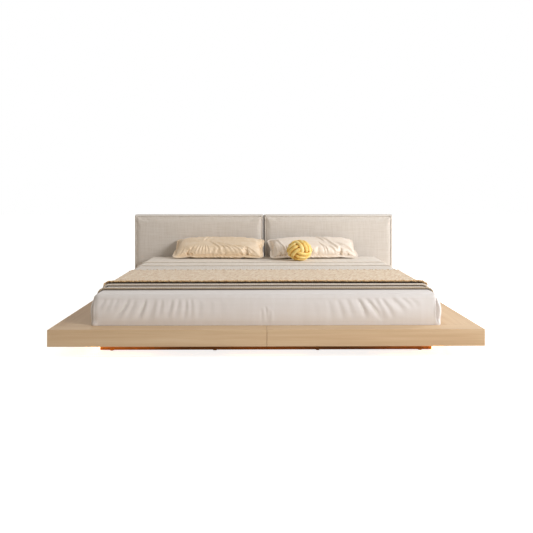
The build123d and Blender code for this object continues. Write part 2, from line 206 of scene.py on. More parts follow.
def folds(x, y, lines, bend=0.04):
    """Height of soft creases: each line is a valley with a low ridge beside it."""
    total = np.zeros_like(x)
    for x0, y0, x1, y1, width, height in lines:
        run = np.hypot(x1 - x0, y1 - y0)
        along = ((x - x0) * (x1 - x0) + (y - y0) * (y1 - y0)) / run**2
        off = ((x - x0) * (y1 - y0) - (y - y0) * (x1 - x0)) / run
        off = off + bend * run * np.sin(pi * np.clip(along, 0, 1))
        fade = ease(along * 4) * ease((1 - along) * 2)
        spread = width * (0.7 + 0.7 * np.clip(along, 0, 1))
        valley = np.exp(-((off / spread) ** 2))
        ridge = np.exp(-(((off + 1.8 * spread) / (1.2 * spread)) ** 2))
        total += height * fade * (ridge_share * ridge - valley)
    return total


def fill_case(piece, pressure, cap, pinned, frames=20, growth=0.0, stiffness=15, bending=0.5):
    """Blows a case up by cloth simulation; no point moves further than cap."""
    before = points_of(piece)
    group = piece.vertex_groups.new(name="held")
    group.add([int(i) for i in np.nonzero(pinned)[0]], 1.0, "REPLACE")
    choose(piece)
    modifier = piece.modifiers.new("filling", "CLOTH")
    cloth = modifier.settings
    cloth.quality = 5
    cloth.mass = 0.3
    cloth.tension_stiffness = stiffness
    cloth.compression_stiffness = stiffness
    cloth.bending_stiffness = bending
    cloth.use_pressure = True
    cloth.uniform_pressure_force = pressure
    cloth.shrink_min = -growth
    cloth.effector_weights.gravity = 0
    cloth.vertex_group_mass = group.name
    scene = bpy.context.scene
    for step in range(1, frames + 1):
        scene.frame_set(step)
    bpy.ops.object.modifier_apply(modifier=modifier.name)
    scene.frame_set(1)
    moved = points_of(piece) - before
    length = np.linalg.norm(moved, axis=1)
    share = np.minimum(1, cap / np.maximum(length, 1e-9))
    set_points(piece, before + moved * share[:, None])
    piece.vertex_groups.clear()
    return piece


def dress(piece, material, body):
    """Gives a piece its finish and the body that it moves with."""
    piece.data.materials.clear()
    piece.data.materials.append(material)
    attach(piece, body)
    return piece


# Materials

# How far apart the bands of a wave texture are at a scale of 1
wave_period = 0.314


def linear(hex_colour):
    """An sRGB hex colour as a linear colour."""
    parts = [int(hex_colour[i:i + 2], 16) / 255 for i in (1, 3, 5)]
    return tuple(c / 12.92 if c <= 0.04045 else ((c + 0.055) / 1.055) ** 2.4 for c in parts) + (1,)


def put(tree, kind, links=None, stops=None, **settings):
    """Adds a node; links gives its inputs values or the sockets that feed them."""
    made = tree.nodes.new("ShaderNode" + kind)
    for name, value in settings.items():
        setattr(made, name, value)
    for name, value in (links or {}).items():
        if isinstance(value, bpy.types.NodeSocket):
            tree.links.new(value, made.inputs[name])
        else:
            made.inputs[name].default_value = value
    if stops:
        ramp = made.color_ramp
        while len(ramp.elements) < len(stops):
            ramp.elements.new(0.5)
        for element, (place, colour) in zip(ramp.elements, stops):
            element.position = place
            element.color = linear(colour)
    return made


def finish(name, **shader_values):
    """A new material with a Principled shader; returns it, its tree and the shader."""
    material = bpy.data.materials.new(name)
    material.use_nodes = True
    tree = material.node_tree
    shader = tree.nodes["Principled BSDF"]
    for socket, value in shader_values.items():
        shader.inputs[socket.replace("_", " ")].default_value = value
    return material, tree, shader


def wood(name, along, stops, ring_width, pore_length, roughness, pore_depth):
    """Sawn or sliced wood: growth rings drawn out along the grain, with fine pores."""
    material, tree, shader = finish(name, Roughness=roughness, Specular_IOR_Level=0.2)
    place = put(tree, "TexCoord").outputs["Object"]
    drawn_out = [1.0, 1.0, 1.0]
    drawn_out["xyz".index(along)] = 0.035
    rings_at = put(tree, "Mapping", {"Vector": place, "Scale": drawn_out}).outputs[0]
    rings = put(
        tree, "TexNoise", {"Vector": rings_at, "Scale": 1 / ring_width, "Detail": 4.0,
                           "Roughness": 0.55, "Distortion": 0.35})
    boards = put(tree, "TexNoise", {"Vector": rings_at, "Scale": 0.16 / ring_width, "Detail": 1.0})
    drawn_out["xyz".index(along)] = 0.02
    pores_at = put(tree, "Mapping", {"Vector": place, "Scale": drawn_out}).outputs[0]
    pores = put(tree, "TexNoise", {"Vector": pores_at, "Scale": 1 / pore_length, "Detail": 2.0})
    mixed = put(tree, "Math", {0: rings.outputs["Fac"], 1: boards.outputs["Fac"]}, operation="ADD")
    half = put(
        tree, "Math", {0: mixed.outputs[0], 1: 0.42, 2: 0.0}, operation="MULTIPLY_ADD")
    toned = put(
        tree, "Math", {0: pores.outputs["Fac"], 1: 0.16, 2: half.outputs[0]},
        operation="MULTIPLY_ADD")
    colour = put(tree, "ValToRGB", {"Fac": toned.outputs[0]}, stops=stops)
    tree.links.new(colour.outputs["Color"], shader.inputs["Base Color"])
    bump = put(
        tree, "Bump", {"Height": pores.outputs["Fac"], "Distance": pore_depth, "Strength": 0.6})
    tree.links.new(bump.outputs[0], shader.inputs["Normal"])
    return material


def ash_veneer(along):
    """Sliced pale ash under matt lacquer: long quiet streaks and shallow open pores."""
    stops = [(0.3, "#C09F79"), (0.46, "#CFB08B"), (0.6, "#D9BD99"), (0.76, "#E3CBAB")]
    return wood("ash_veneer_" + along, along, stops, 26 * mm, 3.4 * mm, 0.5, 0.25 * mm)


def stained_plinth(along):
    """Brown-stained plinth boards under satin varnish: dark streaks, a little shine."""
    stops = [(0.3, "#7A4A1E"), (0.5, "#986028"), (0.72, "#AE7636")]
    return wood("stained_plinth_" + along, along, stops, 14 * mm, 3 * mm, 0.42, 0.2 * mm)


def planed_pine(along):
    """Planed softwood: clear yellow growth rings, unlacquered."""
    stops = [(0.32, "#C79A5B"), (0.5, "#DDBB82"), (0.7, "#EBD3A4")]
    return wood("planed_pine_" + along, along, stops, 12 * mm, 3 * mm, 0.62, 0.2 * mm)


def birch_slat():
    """Planed birch slats: pale and even, hardly any figure."""
    stops = [(0.3, "#D5BB8C"), (0.5, "#E4CFA5"), (0.7, "#EEDDBB")]
    return wood("birch_slat", "x", stops, 20 * mm, 2.6 * mm, 0.6, 0.15 * mm)


def plywood():
    """Raw plywood: broad rotary-cut figure and a dry surface."""
    stops = [(0.3, "#B9935F"), (0.5, "#CDAC78"), (0.72, "#DDC496")]
    return wood("plywood", "y", stops, 34 * mm, 3 * mm, 0.7, 0.2 * mm)


def zinc_steel():
    """Zinc-plated steel screws and bolts: bright grey with a faint cloudy passivation."""
    material, tree, shader = finish("zinc_steel", Metallic=1.0, Roughness=0.32)
    place = put(tree, "TexCoord").outputs["Object"]
    cloud = put(tree, "TexNoise", {"Vector": place, "Scale": 1 / (4 * mm), "Detail": 3.0})
    colour = put(
        tree, "ValToRGB", {"Fac": cloud.outputs["Fac"]},
        stops=[(0.35, "#A9ACB0"), (0.65, "#C6C8CC")])
    tree.links.new(colour.outputs["Color"], shader.inputs["Base Color"])
    return material


def anodised_channel():
    """Extruded, matt-anodised aluminium: fine die lines along the channel."""
    material, tree, shader = finish("anodised_channel", Metallic=1.0, Roughness=0.38)
    place = put(tree, "TexCoord").outputs["Object"]
    lines_at = put(tree, "Mapping", {"Vector": place, "Scale": (1, 0.01, 1)}).outputs[0]
    lines = put(tree, "TexNoise", {"Vector": lines_at, "Scale": 1 / (1.2 * mm), "Detail": 2.0})
    colour = put(
        tree, "ValToRGB", {"Fac": lines.outputs["Fac"]},
        stops=[(0.3, "#B9BBBE"), (0.7, "#D2D4D6")])
    tree.links.new(colour.outputs["Color"], shader.inputs["Base Color"])
    return material


def light_diffuser():
    """Opal silicone over warm light diodes: an even amber glow, the bed's only light."""
    material, tree, shader = finish("light_diffuser", Roughness=0.5, Emission_Strength=20.0)
    shader.inputs["Base Color"].default_value = linear("#FFE2B0")
    shader.inputs["Emission Color"].default_value = linear("#FFC04D")
    return material


def moulded_plastic(name, stops):
    """Moulded plastic with a fine spark-eroded grain."""
    material, tree, shader = finish(name, Roughness=0.55, IOR=1.5)
    place = put(tree, "TexCoord").outputs["Object"]
    grain = put(tree, "TexNoise", {"Vector": place, "Scale": 1 / (1.5 * mm), "Detail": 2.0})
    colour = put(tree, "ValToRGB", {"Fac": grain.outputs["Fac"]}, stops=stops)
    bump = put(tree, "Bump", {"Height": grain.outputs["Fac"], "Distance": 0.15 * mm})
    tree.links.new(colour.outputs["Color"], shader.inputs["Base Color"])
    tree.links.new(bump.outputs[0], shader.inputs["Normal"])
    return material


def woven(name, source, warp, weft, pitch, slub, depth, stops, **shader_values):
    """Plain-woven cloth: crossing threads with thick and thin places along them.

    warp and weft are the axes that the threads are counted along, source is the
    coordinate they are read from, pitch the thread spacing and slub the thick places."""
    material, tree, shader = finish(name, **shader_values)
    place = put(tree, "TexCoord").outputs[source]
    threads = []
    slubs = []
    for axis, other in ((warp, weft), (weft, warp)):
        counted = [0.0, 0.0, 0.0]
        counted["xyz".index(axis)] = 1.0
        line = put(tree, "Mapping", {"Vector": place, "Scale": counted}).outputs[0]
        threads.append(put(
            tree, "TexWave", {"Vector": line, "Scale": wave_period / pitch, "Distortion": 0.0},
            bands_direction="DIAGONAL").outputs["Fac"])
        drawn_out = [1.0, 1.0, 1.0]
        drawn_out["xyz".index(other)] = 0.06
        run = put(tree, "Mapping", {"Vector": place, "Scale": drawn_out}).outputs[0]
        slubs.append(put(
            tree, "TexNoise", {"Vector": run, "Scale": 1 / slub, "Detail": 3.0,
                               "Roughness": 0.6}).outputs["Fac"])
    weave = put(tree, "Math", {0: threads[0], 1: threads[1]}, operation="MULTIPLY").outputs[0]
    uneven = put(tree, "Math", {0: slubs[0], 1: slubs[1]}, operation="ADD").outputs[0]
    height = put(
        tree, "Math", {0: weave, 1: 0.35, 2: uneven}, operation="MULTIPLY_ADD").outputs[0]
    tone = put(tree, "Math", {0: height, 1: 0.5}, operation="MULTIPLY").outputs[0]
    colour = put(tree, "ValToRGB", {"Fac": tone}, stops=stops)
    bump = put(tree, "Bump", {"Height": height, "Distance": depth, "Strength": 0.7})
    tree.links.new(colour.outputs["Color"], shader.inputs["Base Color"])
    tree.links.new(bump.outputs[0], shader.inputs["Normal"])
    return material


def upholstery_linen():
    """Slubby linen over the pads: uneven threads, drawn 4 mm apart so that they show."""
    stops = [(0.3, "#CCC2B5"), (0.5, "#D5CDC2"), (0.7, "#DDD6CD")]
    return woven(
        "upholstery_linen", "Object", "x", "z", 4 * mm, 7 * mm, 0.2 * mm, stops,
        Roughness=0.9, Sheen_Weight=0.25, Sheen_Roughness=0.6)


def highlit_piping_linen():
    """The same linen cut on the bias and pinched into the pads' seams, its colour lighter than the
    pads' as a painted highlight along the seam ridge.
    """
    # Painted highlight: lighter stops than the upholstery linen's, for the same cloth.
    stops = [(0.3, "#DDD5C9"), (0.5, "#E8E1D7"), (0.7, "#F1ECE4")]
    return woven(
        "highlit_piping_linen", "Object", "x", "z", 4 * mm, 7 * mm, 0.5 * mm, stops,
        Roughness=0.9, Sheen_Weight=0.25, Sheen_Roughness=0.6)


def mattress_ticking():
    """Knitted damask ticking: soft white with a padded, faintly ribbed face."""
    stops = [(0.36, "#DAD6CE"), (0.5, "#E8E4DD"), (0.64, "#F1EEE9")]
    return woven(
        "mattress_ticking", "Object", "x", "y", 7 * mm, 20 * mm, 1 * mm, stops,
        Roughness=0.85, Sheen_Weight=0.2)


def percale_sheet():
    """Pressed cotton percale: smooth, matt, a faint mauve-grey white."""
    stops = [(0.3, "#DCD6D0"), (0.5, "#E0DAD5"), (0.7, "#E4DFDB")]
    return woven(
        "percale_sheet", "Object", "x", "z", 3 * mm, 30 * mm, 0.03 * mm, stops,
        Roughness=0.6, Sheen_Weight=0.15)


def blanket_wool():
    """Fulled wool blanket: soft ribs and a short nap."""
    stops = [(0.3, "#9C8669"), (0.5, "#AF9B80"), (0.7, "#C4B39C")]
    return woven(
        "blanket_wool", "UV", "x", "y", 6 * mm, 9 * mm, 1.2 * mm, stops,
        Roughness=0.95, Sheen_Weight=0.5, Sheen_Roughness=0.5)


def coverlet_cotton():
    """Ribbed cotton coverlet: cords across the bed, matt and creamy."""
    stops = [(0.3, "#BFB09C"), (0.5, "#D2C6B6"), (0.7, "#E2DACE")]
    return woven(
        "coverlet_cotton", "UV", "x", "y", 6 * mm, 10 * mm, 1 * mm, stops,
        Roughness=0.88, Sheen_Weight=0.3, Sheen_Roughness=0.5)


def turned_cotton():
    """Washed cotton top sheet: pale, with small soft wrinkles."""
    stops = [(0.3, "#DDD2C2"), (0.5, "#E5DBCD"), (0.7, "#ECE4D8")]
    return woven(
        "turned_cotton", "UV", "x", "y", 3 * mm, 26 * mm, 0.15 * mm, stops,
        Roughness=0.8, Sheen_Weight=0.15)


def throw_knit():
    """Chunky cotton knit: twisted loops in slanting rows, with a painted highlight on their crowns
    and painted shade between them.
    """
    material, tree, shader = finish(
        "throw_knit", Roughness=0.9, Sheen_Weight=0.35, Sheen_Roughness=0.5)
    place = put(tree, "TexCoord").outputs["UV"]
    strands = []
    for lean, pitch in ((14, 8 * mm), (-18, 12 * mm)):
        slanted = put(
            tree, "Mapping", {"Vector": place, "Rotation": (0, 0, radians(lean)),
                              "Scale": (1.0, 7.0, 1.0)}, vector_type="TEXTURE").outputs[0]
        strands.append(put(tree, "TexNoise", {"Vector": slanted, "Scale": 1 / pitch,
                                              "Detail": 3.0}).outputs["Fac"])
    crown = put(
        tree, "Math", {0: strands[0], 1: 0.6, 2: strands[1]}, operation="MULTIPLY_ADD").outputs[0]
    # Painted light: the colour follows the knit's height, lighter on the crowns and darker down
    # between the loops.
    tone = put(tree, "Math", {0: crown, 1: 0.62}, operation="MULTIPLY").outputs[0]
    colour = put(
        tree, "ValToRGB", {"Fac": tone},
        stops=[(0.34, "#C09768"), (0.45, "#D4B68C"), (0.55, "#DFC8A4"), (0.66, "#EDDDC4")])
    bump = put(tree, "Bump", {"Height": crown, "Distance": 3 * mm, "Strength": 0.6})
    tree.links.new(colour.outputs["Color"], shader.inputs["Base Color"])
    tree.links.new(bump.outputs[0], shader.inputs["Normal"])
    return material


def fringe_yarn():
    """The throw's edge loops: bare twisted yarn, a little more orange than the knit."""
    material, tree, shader = finish("fringe_yarn", Roughness=0.85, Sheen_Weight=0.3)
    place = put(tree, "TexCoord").outputs["Object"]
    twist = put(tree, "TexNoise", {"Vector": place, "Scale": 1 / (6 * mm), "Detail": 2.0})
    colour = put(
        tree, "ValToRGB", {"Fac": twist.outputs["Fac"]},
        stops=[(0.3, "#C8975A"), (0.55, "#DDBB88"), (0.75, "#EFDDBC")])
    tree.links.new(colour.outputs["Color"], shader.inputs["Base Color"])
    return material


def sateen(name, stops):
    """Cotton sateen: long floats give a smooth face with a soft broad shine."""
    return woven(
        name, "Object", "x", "y", 2.5 * mm, 24 * mm, 0.1 * mm, stops,
        Roughness=0.42, Sheen_Weight=0.35, Sheen_Roughness=0.35)


def knot_plush(centre, radius, flatten):
    """Brushed gold jersey over a filled tube: short pile, with painted shade, a deep orange, down
    between the strands.
    """
    material, tree, shader = finish(
        "knot_plush", Roughness=0.85, Sheen_Weight=0.6, Sheen_Roughness=0.45)
    shader.inputs["Sheen Tint"].default_value = linear("#FFE08A")
    place = put(tree, "TexCoord").outputs["Object"]
    pile = put(tree, "TexNoise", {"Vector": place, "Scale": 1 / (5 * mm), "Detail": 4.0,
                                  "Roughness": 0.65})
    patch = put(tree, "TexNoise", {"Vector": place, "Scale": 1 / (45 * mm), "Detail": 1.0})
    half = put(tree, "Math", {0: patch.outputs["Fac"], 1: 0.5}, operation="MULTIPLY")
    tone = put(tree, "Math", {0: pile.outputs["Fac"], 1: 0.5, 2: half.outputs[0]},
               operation="MULTIPLY_ADD")
    colour = put(
        tree, "ValToRGB", {"Fac": tone.outputs[0]},
        stops=[(0.38, "#ECBE5C"), (0.5, "#F8DA82"), (0.62, "#FDEAA8")])
    bump = put(tree, "Bump", {"Height": pile.outputs["Fac"], "Distance": 1.6 * mm,
                              "Strength": 0.6})
    # Painted shade: the colour is multiplied towards a deep orange nearer the ball's middle, where
    # the strands dip in between each other.
    from_middle = put(
        tree, "Mapping", {"Vector": place, "Location": centre, "Scale": (1, 1, flatten)},
        vector_type="TEXTURE").outputs[0]
    reach = put(tree, "VectorMath", {"Vector": from_middle}, operation="LENGTH").outputs["Value"]
    depth = put(tree, "MapRange", {"Value": reach, "From Min": radius - 17 * mm,
                                   "From Max": radius - 3 * mm}).outputs[0]
    toned = put(
        tree, "ValToRGB", {"Fac": depth},
        stops=[(0.0, "#7A3A04"), (0.45, "#F0C878"), (0.8, "#FFFFFF")])
    shaded = put(tree, "MixRGB", {0: 1.0, 1: colour.outputs["Color"], 2: toned.outputs["Color"]},
                 blend_type="MULTIPLY")
    tree.links.new(shaded.outputs[0], shader.inputs["Base Color"])
    tree.links.new(bump.outputs[0], shader.inputs["Normal"])
    return material


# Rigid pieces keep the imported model's shapes and get their finishes

def dress_cad_nodes():
    """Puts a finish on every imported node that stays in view."""
    ash_x, ash_y = ash_veneer("x"), ash_veneer("y")
    plinth_x, plinth_y = stained_plinth("x"), stained_plinth("y")
    pine_x, pine_y, pine_z = planed_pine("x"), planed_pine("y"), planed_pine("z")
    ply = plywood()
    screws = zinc_steel()
    glides = moulded_plastic("brown_plastic", [(0.3, "#8A6238"), (0.7, "#9C7244")])
    driver = moulded_plastic("black_plastic", [(0.3, "#202024"), (0.7, "#2E2E33")])
    finishes = {
        "front_fascia": ash_x, "rear_fascia": ash_x, "front_ledge": ash_x, "rear_ledge": ash_x,
        "headboard_panel": ash_x, "side_fascia": ash_y, "side_ledge": ash_y,
        "plinth_front": plinth_x, "plinth_rear": plinth_x, "plinth_left": plinth_y,
        "plinth_right": plinth_y, "plinth_centre": plinth_y, "plinth_glides": glides,
        "centre_bearer": pine_y, "side_bearer": pine_y, "side_rail": pine_y,
        "foot_rail": pine_x, "head_rail": pine_x, "ledge_ribs": pine_z,
        "headboard_posts": pine_z, "slats": birch_slat(), "soffit": ply, "pad_board": ply,
        "slat_screws": screws, "centre_bolts": screws, "headboard_bolts": screws,
        "light_channel": anodised_channel(), "light_strip": light_diffuser(),
        "light_driver": driver,
    }
    for name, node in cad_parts.items():
        fitting = [key for key in finishes if name.startswith(key)]
        if fitting:
            material = finishes[max(fitting, key=len)]
            for material_slot in node.material_slots:
                material_slot.material = material


# Headboard pads

pad_lo, pad_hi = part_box("pad_cover_left")
pad_edge_round = 8 * mm
pad_crown = 9 * mm
pad_stand_out = 7 * mm
pad_start_inset = 1 * mm
pad_voxel = 7 * mm
pad_held_depth = 45 * mm
pad_filled_depth = 60 * mm
pad_pressure = 4
seam_inset = 12 * mm
seam_corner = 10 * mm
seam_height = 12 * mm
seam_half_width = 3.4 * mm
seam_groove_depth = 8 * mm
seam_groove_width = 7 * mm


def pad_loop(inset, corner, step):
    """Points and outward directions round a pad's front, as a closed loop."""
    x0, x1 = pad_lo.x + inset + corner, pad_hi.x - inset - corner
    z0, z1 = pad_lo.z + inset + corner, pad_hi.z - inset - corner
    corners = [(x1, z0, -90), (x1, z1, 0), (x0, z1, 90), (x0, z0, 180)]
    places, outward = [], []
    for i, (cx, cz, start) in enumerate(corners):
        for k in range(7):
            angle = radians(start + 90 * k / 6)
            way = (cos(angle), 0, sin(angle))
            places.append((cx + corner * way[0], 0, cz + corner * way[2]))
            outward.append(way)
        nx, nz, following = corners[(i + 1) % 4]
        angle = radians(following)
        way = (cos(angle), 0, sin(angle))
        start_point = np.array(places[-1])
        end_point = np.array((nx + corner * way[0], 0, nz + corner * way[2]))
        count = max(2, int(np.linalg.norm(end_point - start_point) / step))
        for k in range(1, count):
            places.append(tuple(start_point + (end_point - start_point) * k / count))
            outward.append(way)
    return np.array(places, float), np.array(outward, float)


def pad_cushion():
    """The left pad: foam in a stretched cover, rounded at the front and held at the back."""
    front = pad_lo.y + pad_crown + pad_start_inset
    size = Vector((pad_hi.x - pad_lo.x, pad_hi.y - front, pad_hi.z - pad_lo.z))
    size -= Vector((2 * pad_start_inset, 0, 2 * pad_start_inset))
    centre = Vector(((pad_lo.x + pad_hi.x) / 2, (front + pad_hi.y) / 2, (pad_lo.z + pad_hi.z) / 2))
    bpy.ops.object.select_all(action="DESELECT")
    bpy.ops.mesh.primitive_cube_add(size=1, location=centre, scale=size)
    pad = named("headboard_pad_left")
    bpy.ops.object.transform_apply(location=True, scale=True)
    for edge in pad.data.edges:
        ends = [pad.data.vertices[i].co.y for i in edge.vertices]
        edge.select = max(ends) < front + mm
    bpy.ops.object.mode_set(mode="EDIT")
    bpy.ops.mesh.bevel(offset=pad_edge_round, segments=5, profile=0.5)
    bpy.ops.object.mode_set(mode="OBJECT")
    modify(pad, "REMESH", mode="VOXEL", voxel_size=pad_voxel)
    held = points_of(pad)[:, 1] > pad_hi.y - pad_held_depth
    fill_case(pad, pad_pressure, pad_crown, held)
    p = points_of(pad)
    forward = ease((pad_hi.y - p[:, 1]) / pad_filled_depth)
    for axis, low, high in ((0, pad_lo.x - pad_stand_out, pad_hi.x), (2, pad_lo.z, pad_hi.z)):
        filled = np.interp(p[:, axis], (p[:, axis].min(), p[:, axis].max()), (low, high))
        p[:, axis] += forward * (filled - p[:, axis])
    set_points(pad, p)
    modify(pad, "SUBSURF", levels=1, render_levels=1)
    return pad


def pinch_seam(pad):
    """Draws the cover in along the seam and lets it pucker a little beside it."""
    p = points_of(pad)
    edge = np.minimum.reduce([p[:, 0] - pad_lo.x, pad_hi.x - p[:, 0],
                              p[:, 2] - pad_lo.z, pad_hi.z - p[:, 2]])
    at_front = ease((pad_lo.y + 30 * mm - p[:, 1]) / (12 * mm))
    groove = seam_groove_depth * np.exp(-(((edge - seam_inset) / seam_groove_width) ** 2))
    round_place = p[:, 0] + p[:, 2]
    pucker = 0.6 * mm * np.sin(2 * pi * round_place / (38 * mm))
    pucker = pucker * np.exp(-(((edge - 26 * mm) / (14 * mm)) ** 2))
    p[:, 1] += at_front * (groove + pucker)
    return set_points(pad, p)


def pad_seam(pad):
    """The pinched flange that stands up along the seam round the pad's face."""
    places, outward = pad_loop(seam_inset, seam_corner, 12 * mm)
    forward = np.tile((0.0, -1.0, 0.0), (len(places), 1))
    surface = points_of(pad)
    surface = surface[surface[:, 1] < pad_lo.y + 40 * mm]
    for place in places:
        gap = (surface[:, 0] - place[0]) ** 2 + (surface[:, 2] - place[2]) ** 2
        place[1] = surface[np.argsort(gap)[:4], 1].mean()
    places[:, 1] = (np.roll(places[:, 1], 1) + places[:, 1] + np.roll(places[:, 1], -1)) / 3
    w = seam_half_width
    section = [(-w, -6 * mm), (-w, 2 * mm), (-0.8 * w, seam_height - 1.5 * mm),
               (0, seam_height), (0.8 * w, seam_height - 1.5 * mm), (w, 2 * mm), (w, -6 * mm)]
    return smooth(swept_ring("pad_seam_left", places, outward, forward, section), 60)


def mirrored(piece, name):
    """A copy of a piece on the other side of the bed, with its own mesh."""
    twin = piece.copy()
    twin.data = piece.data.copy()
    bpy.context.scene.collection.objects.link(twin)
    twin.name = twin.data.name = name
    set_points(twin, points_of(twin) * np.array((-1, 1, 1)))
    return edit(twin, (bpy.ops.mesh.flip_normals, {}))


def make_headboard_pads():
    """Two upholstered pads, each with its pinched seam."""
    linen, piping = upholstery_linen(), highlit_piping_linen()
    left = pinch_seam(pad_cushion())
    smooth(left, 60)
    seam = pad_seam(left)
    pairs = [("left", left, seam),
             ("right", mirrored(left, "headboard_pad_right"), mirrored(seam, "pad_seam_right"))]
    for side, pad, ring in pairs:
        dress(pad, linen, "bed")
        dress(ring, piping, "bed")
        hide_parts("pad_cover_" + side, "pad_foam_" + side)


# Mattress and fitted sheet

def side_outset(z):
    """How far the mattress's sides stand out at a height, before the share of each side."""
    lean = (z - bulge_middle) / bulge_reach
    return np.maximum(1 - lean**2, -bottom_tuck / side_bulge)


def outline(corner, foot_step, side_step, head_step, corner_steps):
    """Stations round the mattress: a base point each, the way it faces, and its corner angle."""
    a = mattress_half - corner
    b = mattress_half_length - corner
    mid = mattress_middle
    runs = [
        ((0, b), (a, b), 90, head_step), ((a, b), (a, -b), 0, side_step),
        ((a, -b), (-a, -b), -90, foot_step), ((-a, -b), (-a, b), 180, side_step),
        ((-a, b), (0, b), 90, head_step),
    ]
    base, angles = [], []
    for i, (start, end, angle, step) in enumerate(runs):
        count = int(round(np.hypot(end[0] - start[0], end[1] - start[1]) / step))
        for k in range(count):
            share = k / count
            base.append((start[0] + (end[0] - start[0]) * share,
                         start[1] + (end[1] - start[1]) * share + mid))
            angles.append(angle)
        if i < 4:
            for k in range(corner_steps):
                base.append((end[0], end[1] + mid))
                angles.append(angle - 90 * k / corner_steps)
    return np.array(base), np.radians(np.array(angles, float))


def bed_skin(name, stations, corner, grow, levels, top_steps, base_steps=(), shape=None):
    """A skin over the mattress: in under its base, up its sides and in over its top.

    levels are the heights up the sides, the steps are distances in from the edge, and
    shape returns how far each point is moved out."""
    base, angles = stations
    facing = np.stack([np.cos(angles), np.sin(angles)], axis=1)
    share = side_bulge * facing[:, 0] ** 2 + end_bulge * facing[:, 1] ** 2
    top = mattress_top + grow
    shoulder = top - top_round
    half = np.array((mattress_half, mattress_half_length)) - corner
    rows = [(0.0, levels[0], step) for step in base_steps]
    rows += [(0.0, z, 0.0) for z in levels if z < shoulder]
    for k in range(9):
        turn = radians(90 * k / 8)
        rows.append((top_round * (1 - cos(turn)), shoulder + top_round * sin(turn), 0.0))
    rows += [(top_round, top, step) for step in top_steps]
    rows = np.array(rows)
    count = len(base)

    def place(u, v):
        i = np.round(u * count).astype(int) % count
        j = np.round(v * (len(rows) - 1)).astype(int)
        drawn_in, z, inwards = rows[j].T
        low = np.minimum(z, shoulder)
        out = corner + grow + share[i] * side_outset(low) - drawn_in
        least = 10 * mm * (1 - inwards / half[0])
        out = np.where(inwards > 0, np.maximum(out - inwards, least), out)
        shrink = 1 - inwards[:, None] / half
        centre = np.array((0, mattress_middle))
        flat = (base[i] - centre) * shrink + centre + facing[i] * out[:, None]
        placed = np.column_stack([flat, z])
        if shape is not None:
            push = shape(placed, angles[i], z)
            placed[:, :2] += facing[i] * push[:, None]
        return placed

    return close_seams(shaped_grid(name, count, len(rows) - 1, place))


# Creases on the sheet's foot end: x and z of the upper and lower end, width, depth in mm.
# They lean outwards at the bottom on both sides, as a sheet pulled tight to its corners does.
# The five values after the table lengthen, lean, widen and flatten them all together.
foot_folds = [
    (-830, 288, -868, 236, 7, 3.0), (-795, 290, -840, 215, 8, 2.6), (-765, 286, -800, 238, 7, 2.2),
    (-706, 291, -778, 184, 9, 6.0), (-672, 286, -735, 178, 10, 3.4), (-622, 290, -668, 178, 8, 6.0),
    (-575, 287, -615, 166, 10, 3.6), (-540, 288, -562, 200, 8, 2.8), (-486, 290, -520, 182, 9, 4.2),
    (-450, 289, -480, 190, 9, 3.2), (-418, 288, -430, 172, 8, 3.6), (-392, 290, -400, 168, 8, 2.6),
    (-345, 285, -358, 176, 10, 1.8), (-290, 284, -297, 180, 10, 1.2), (-236, 280, -240, 190, 12, 0.8),
    (-30, 240, -26, 150, 7, 1.8), (-8, 252, -4, 150, 6, 2.6), (12, 236, 8, 150, 6, 2.2),
    (240, 280, 246, 190, 12, 0.8), (318, 284, 330, 170, 10, 1.6), (362, 288, 392, 165, 10, 2.6),
    (412, 289, 440, 180, 9, 2.4), (466, 290, 512, 176, 9, 5.4), (505, 290, 590, 160, 9, 5.8),
    (552, 288, 610, 164, 10, 4.8), (586, 290, 650, 175, 9, 4.6), (640, 291, 712, 205, 9, 3.6),
    (690, 290, 752, 236, 8, 2.6), (735, 290, 786, 240, 8, 2.2),
]
foot_fold_rise = 10
foot_fold_drop = 4
foot_fold_lean = 0.25
foot_fold_width = 1.3
foot_fold_depth = 0.8
side_fold_pitch = 190 * mm
side_fold_depth = 1.6 * mm
side_fold_beat = 830 * mm
hem_height = 12 * mm
hem_depth = 0.8 * mm
tuck_bottom = 162 * mm
tuck_top = 293 * mm
tuck_depth = 20 * mm
tuck_lip = 2.5 * mm
# The side each tuck is on, how far round its corner it is, and how wide it gapes
tucks = ((1, radians(30), 13 * mm), (-1, radians(48), 6 * mm))
# The sheet's lower corners fill the square corners of the well that the mattress lies in
corner_fill = 0.38 * mattress_corner
corner_fill_height = 34 * mm


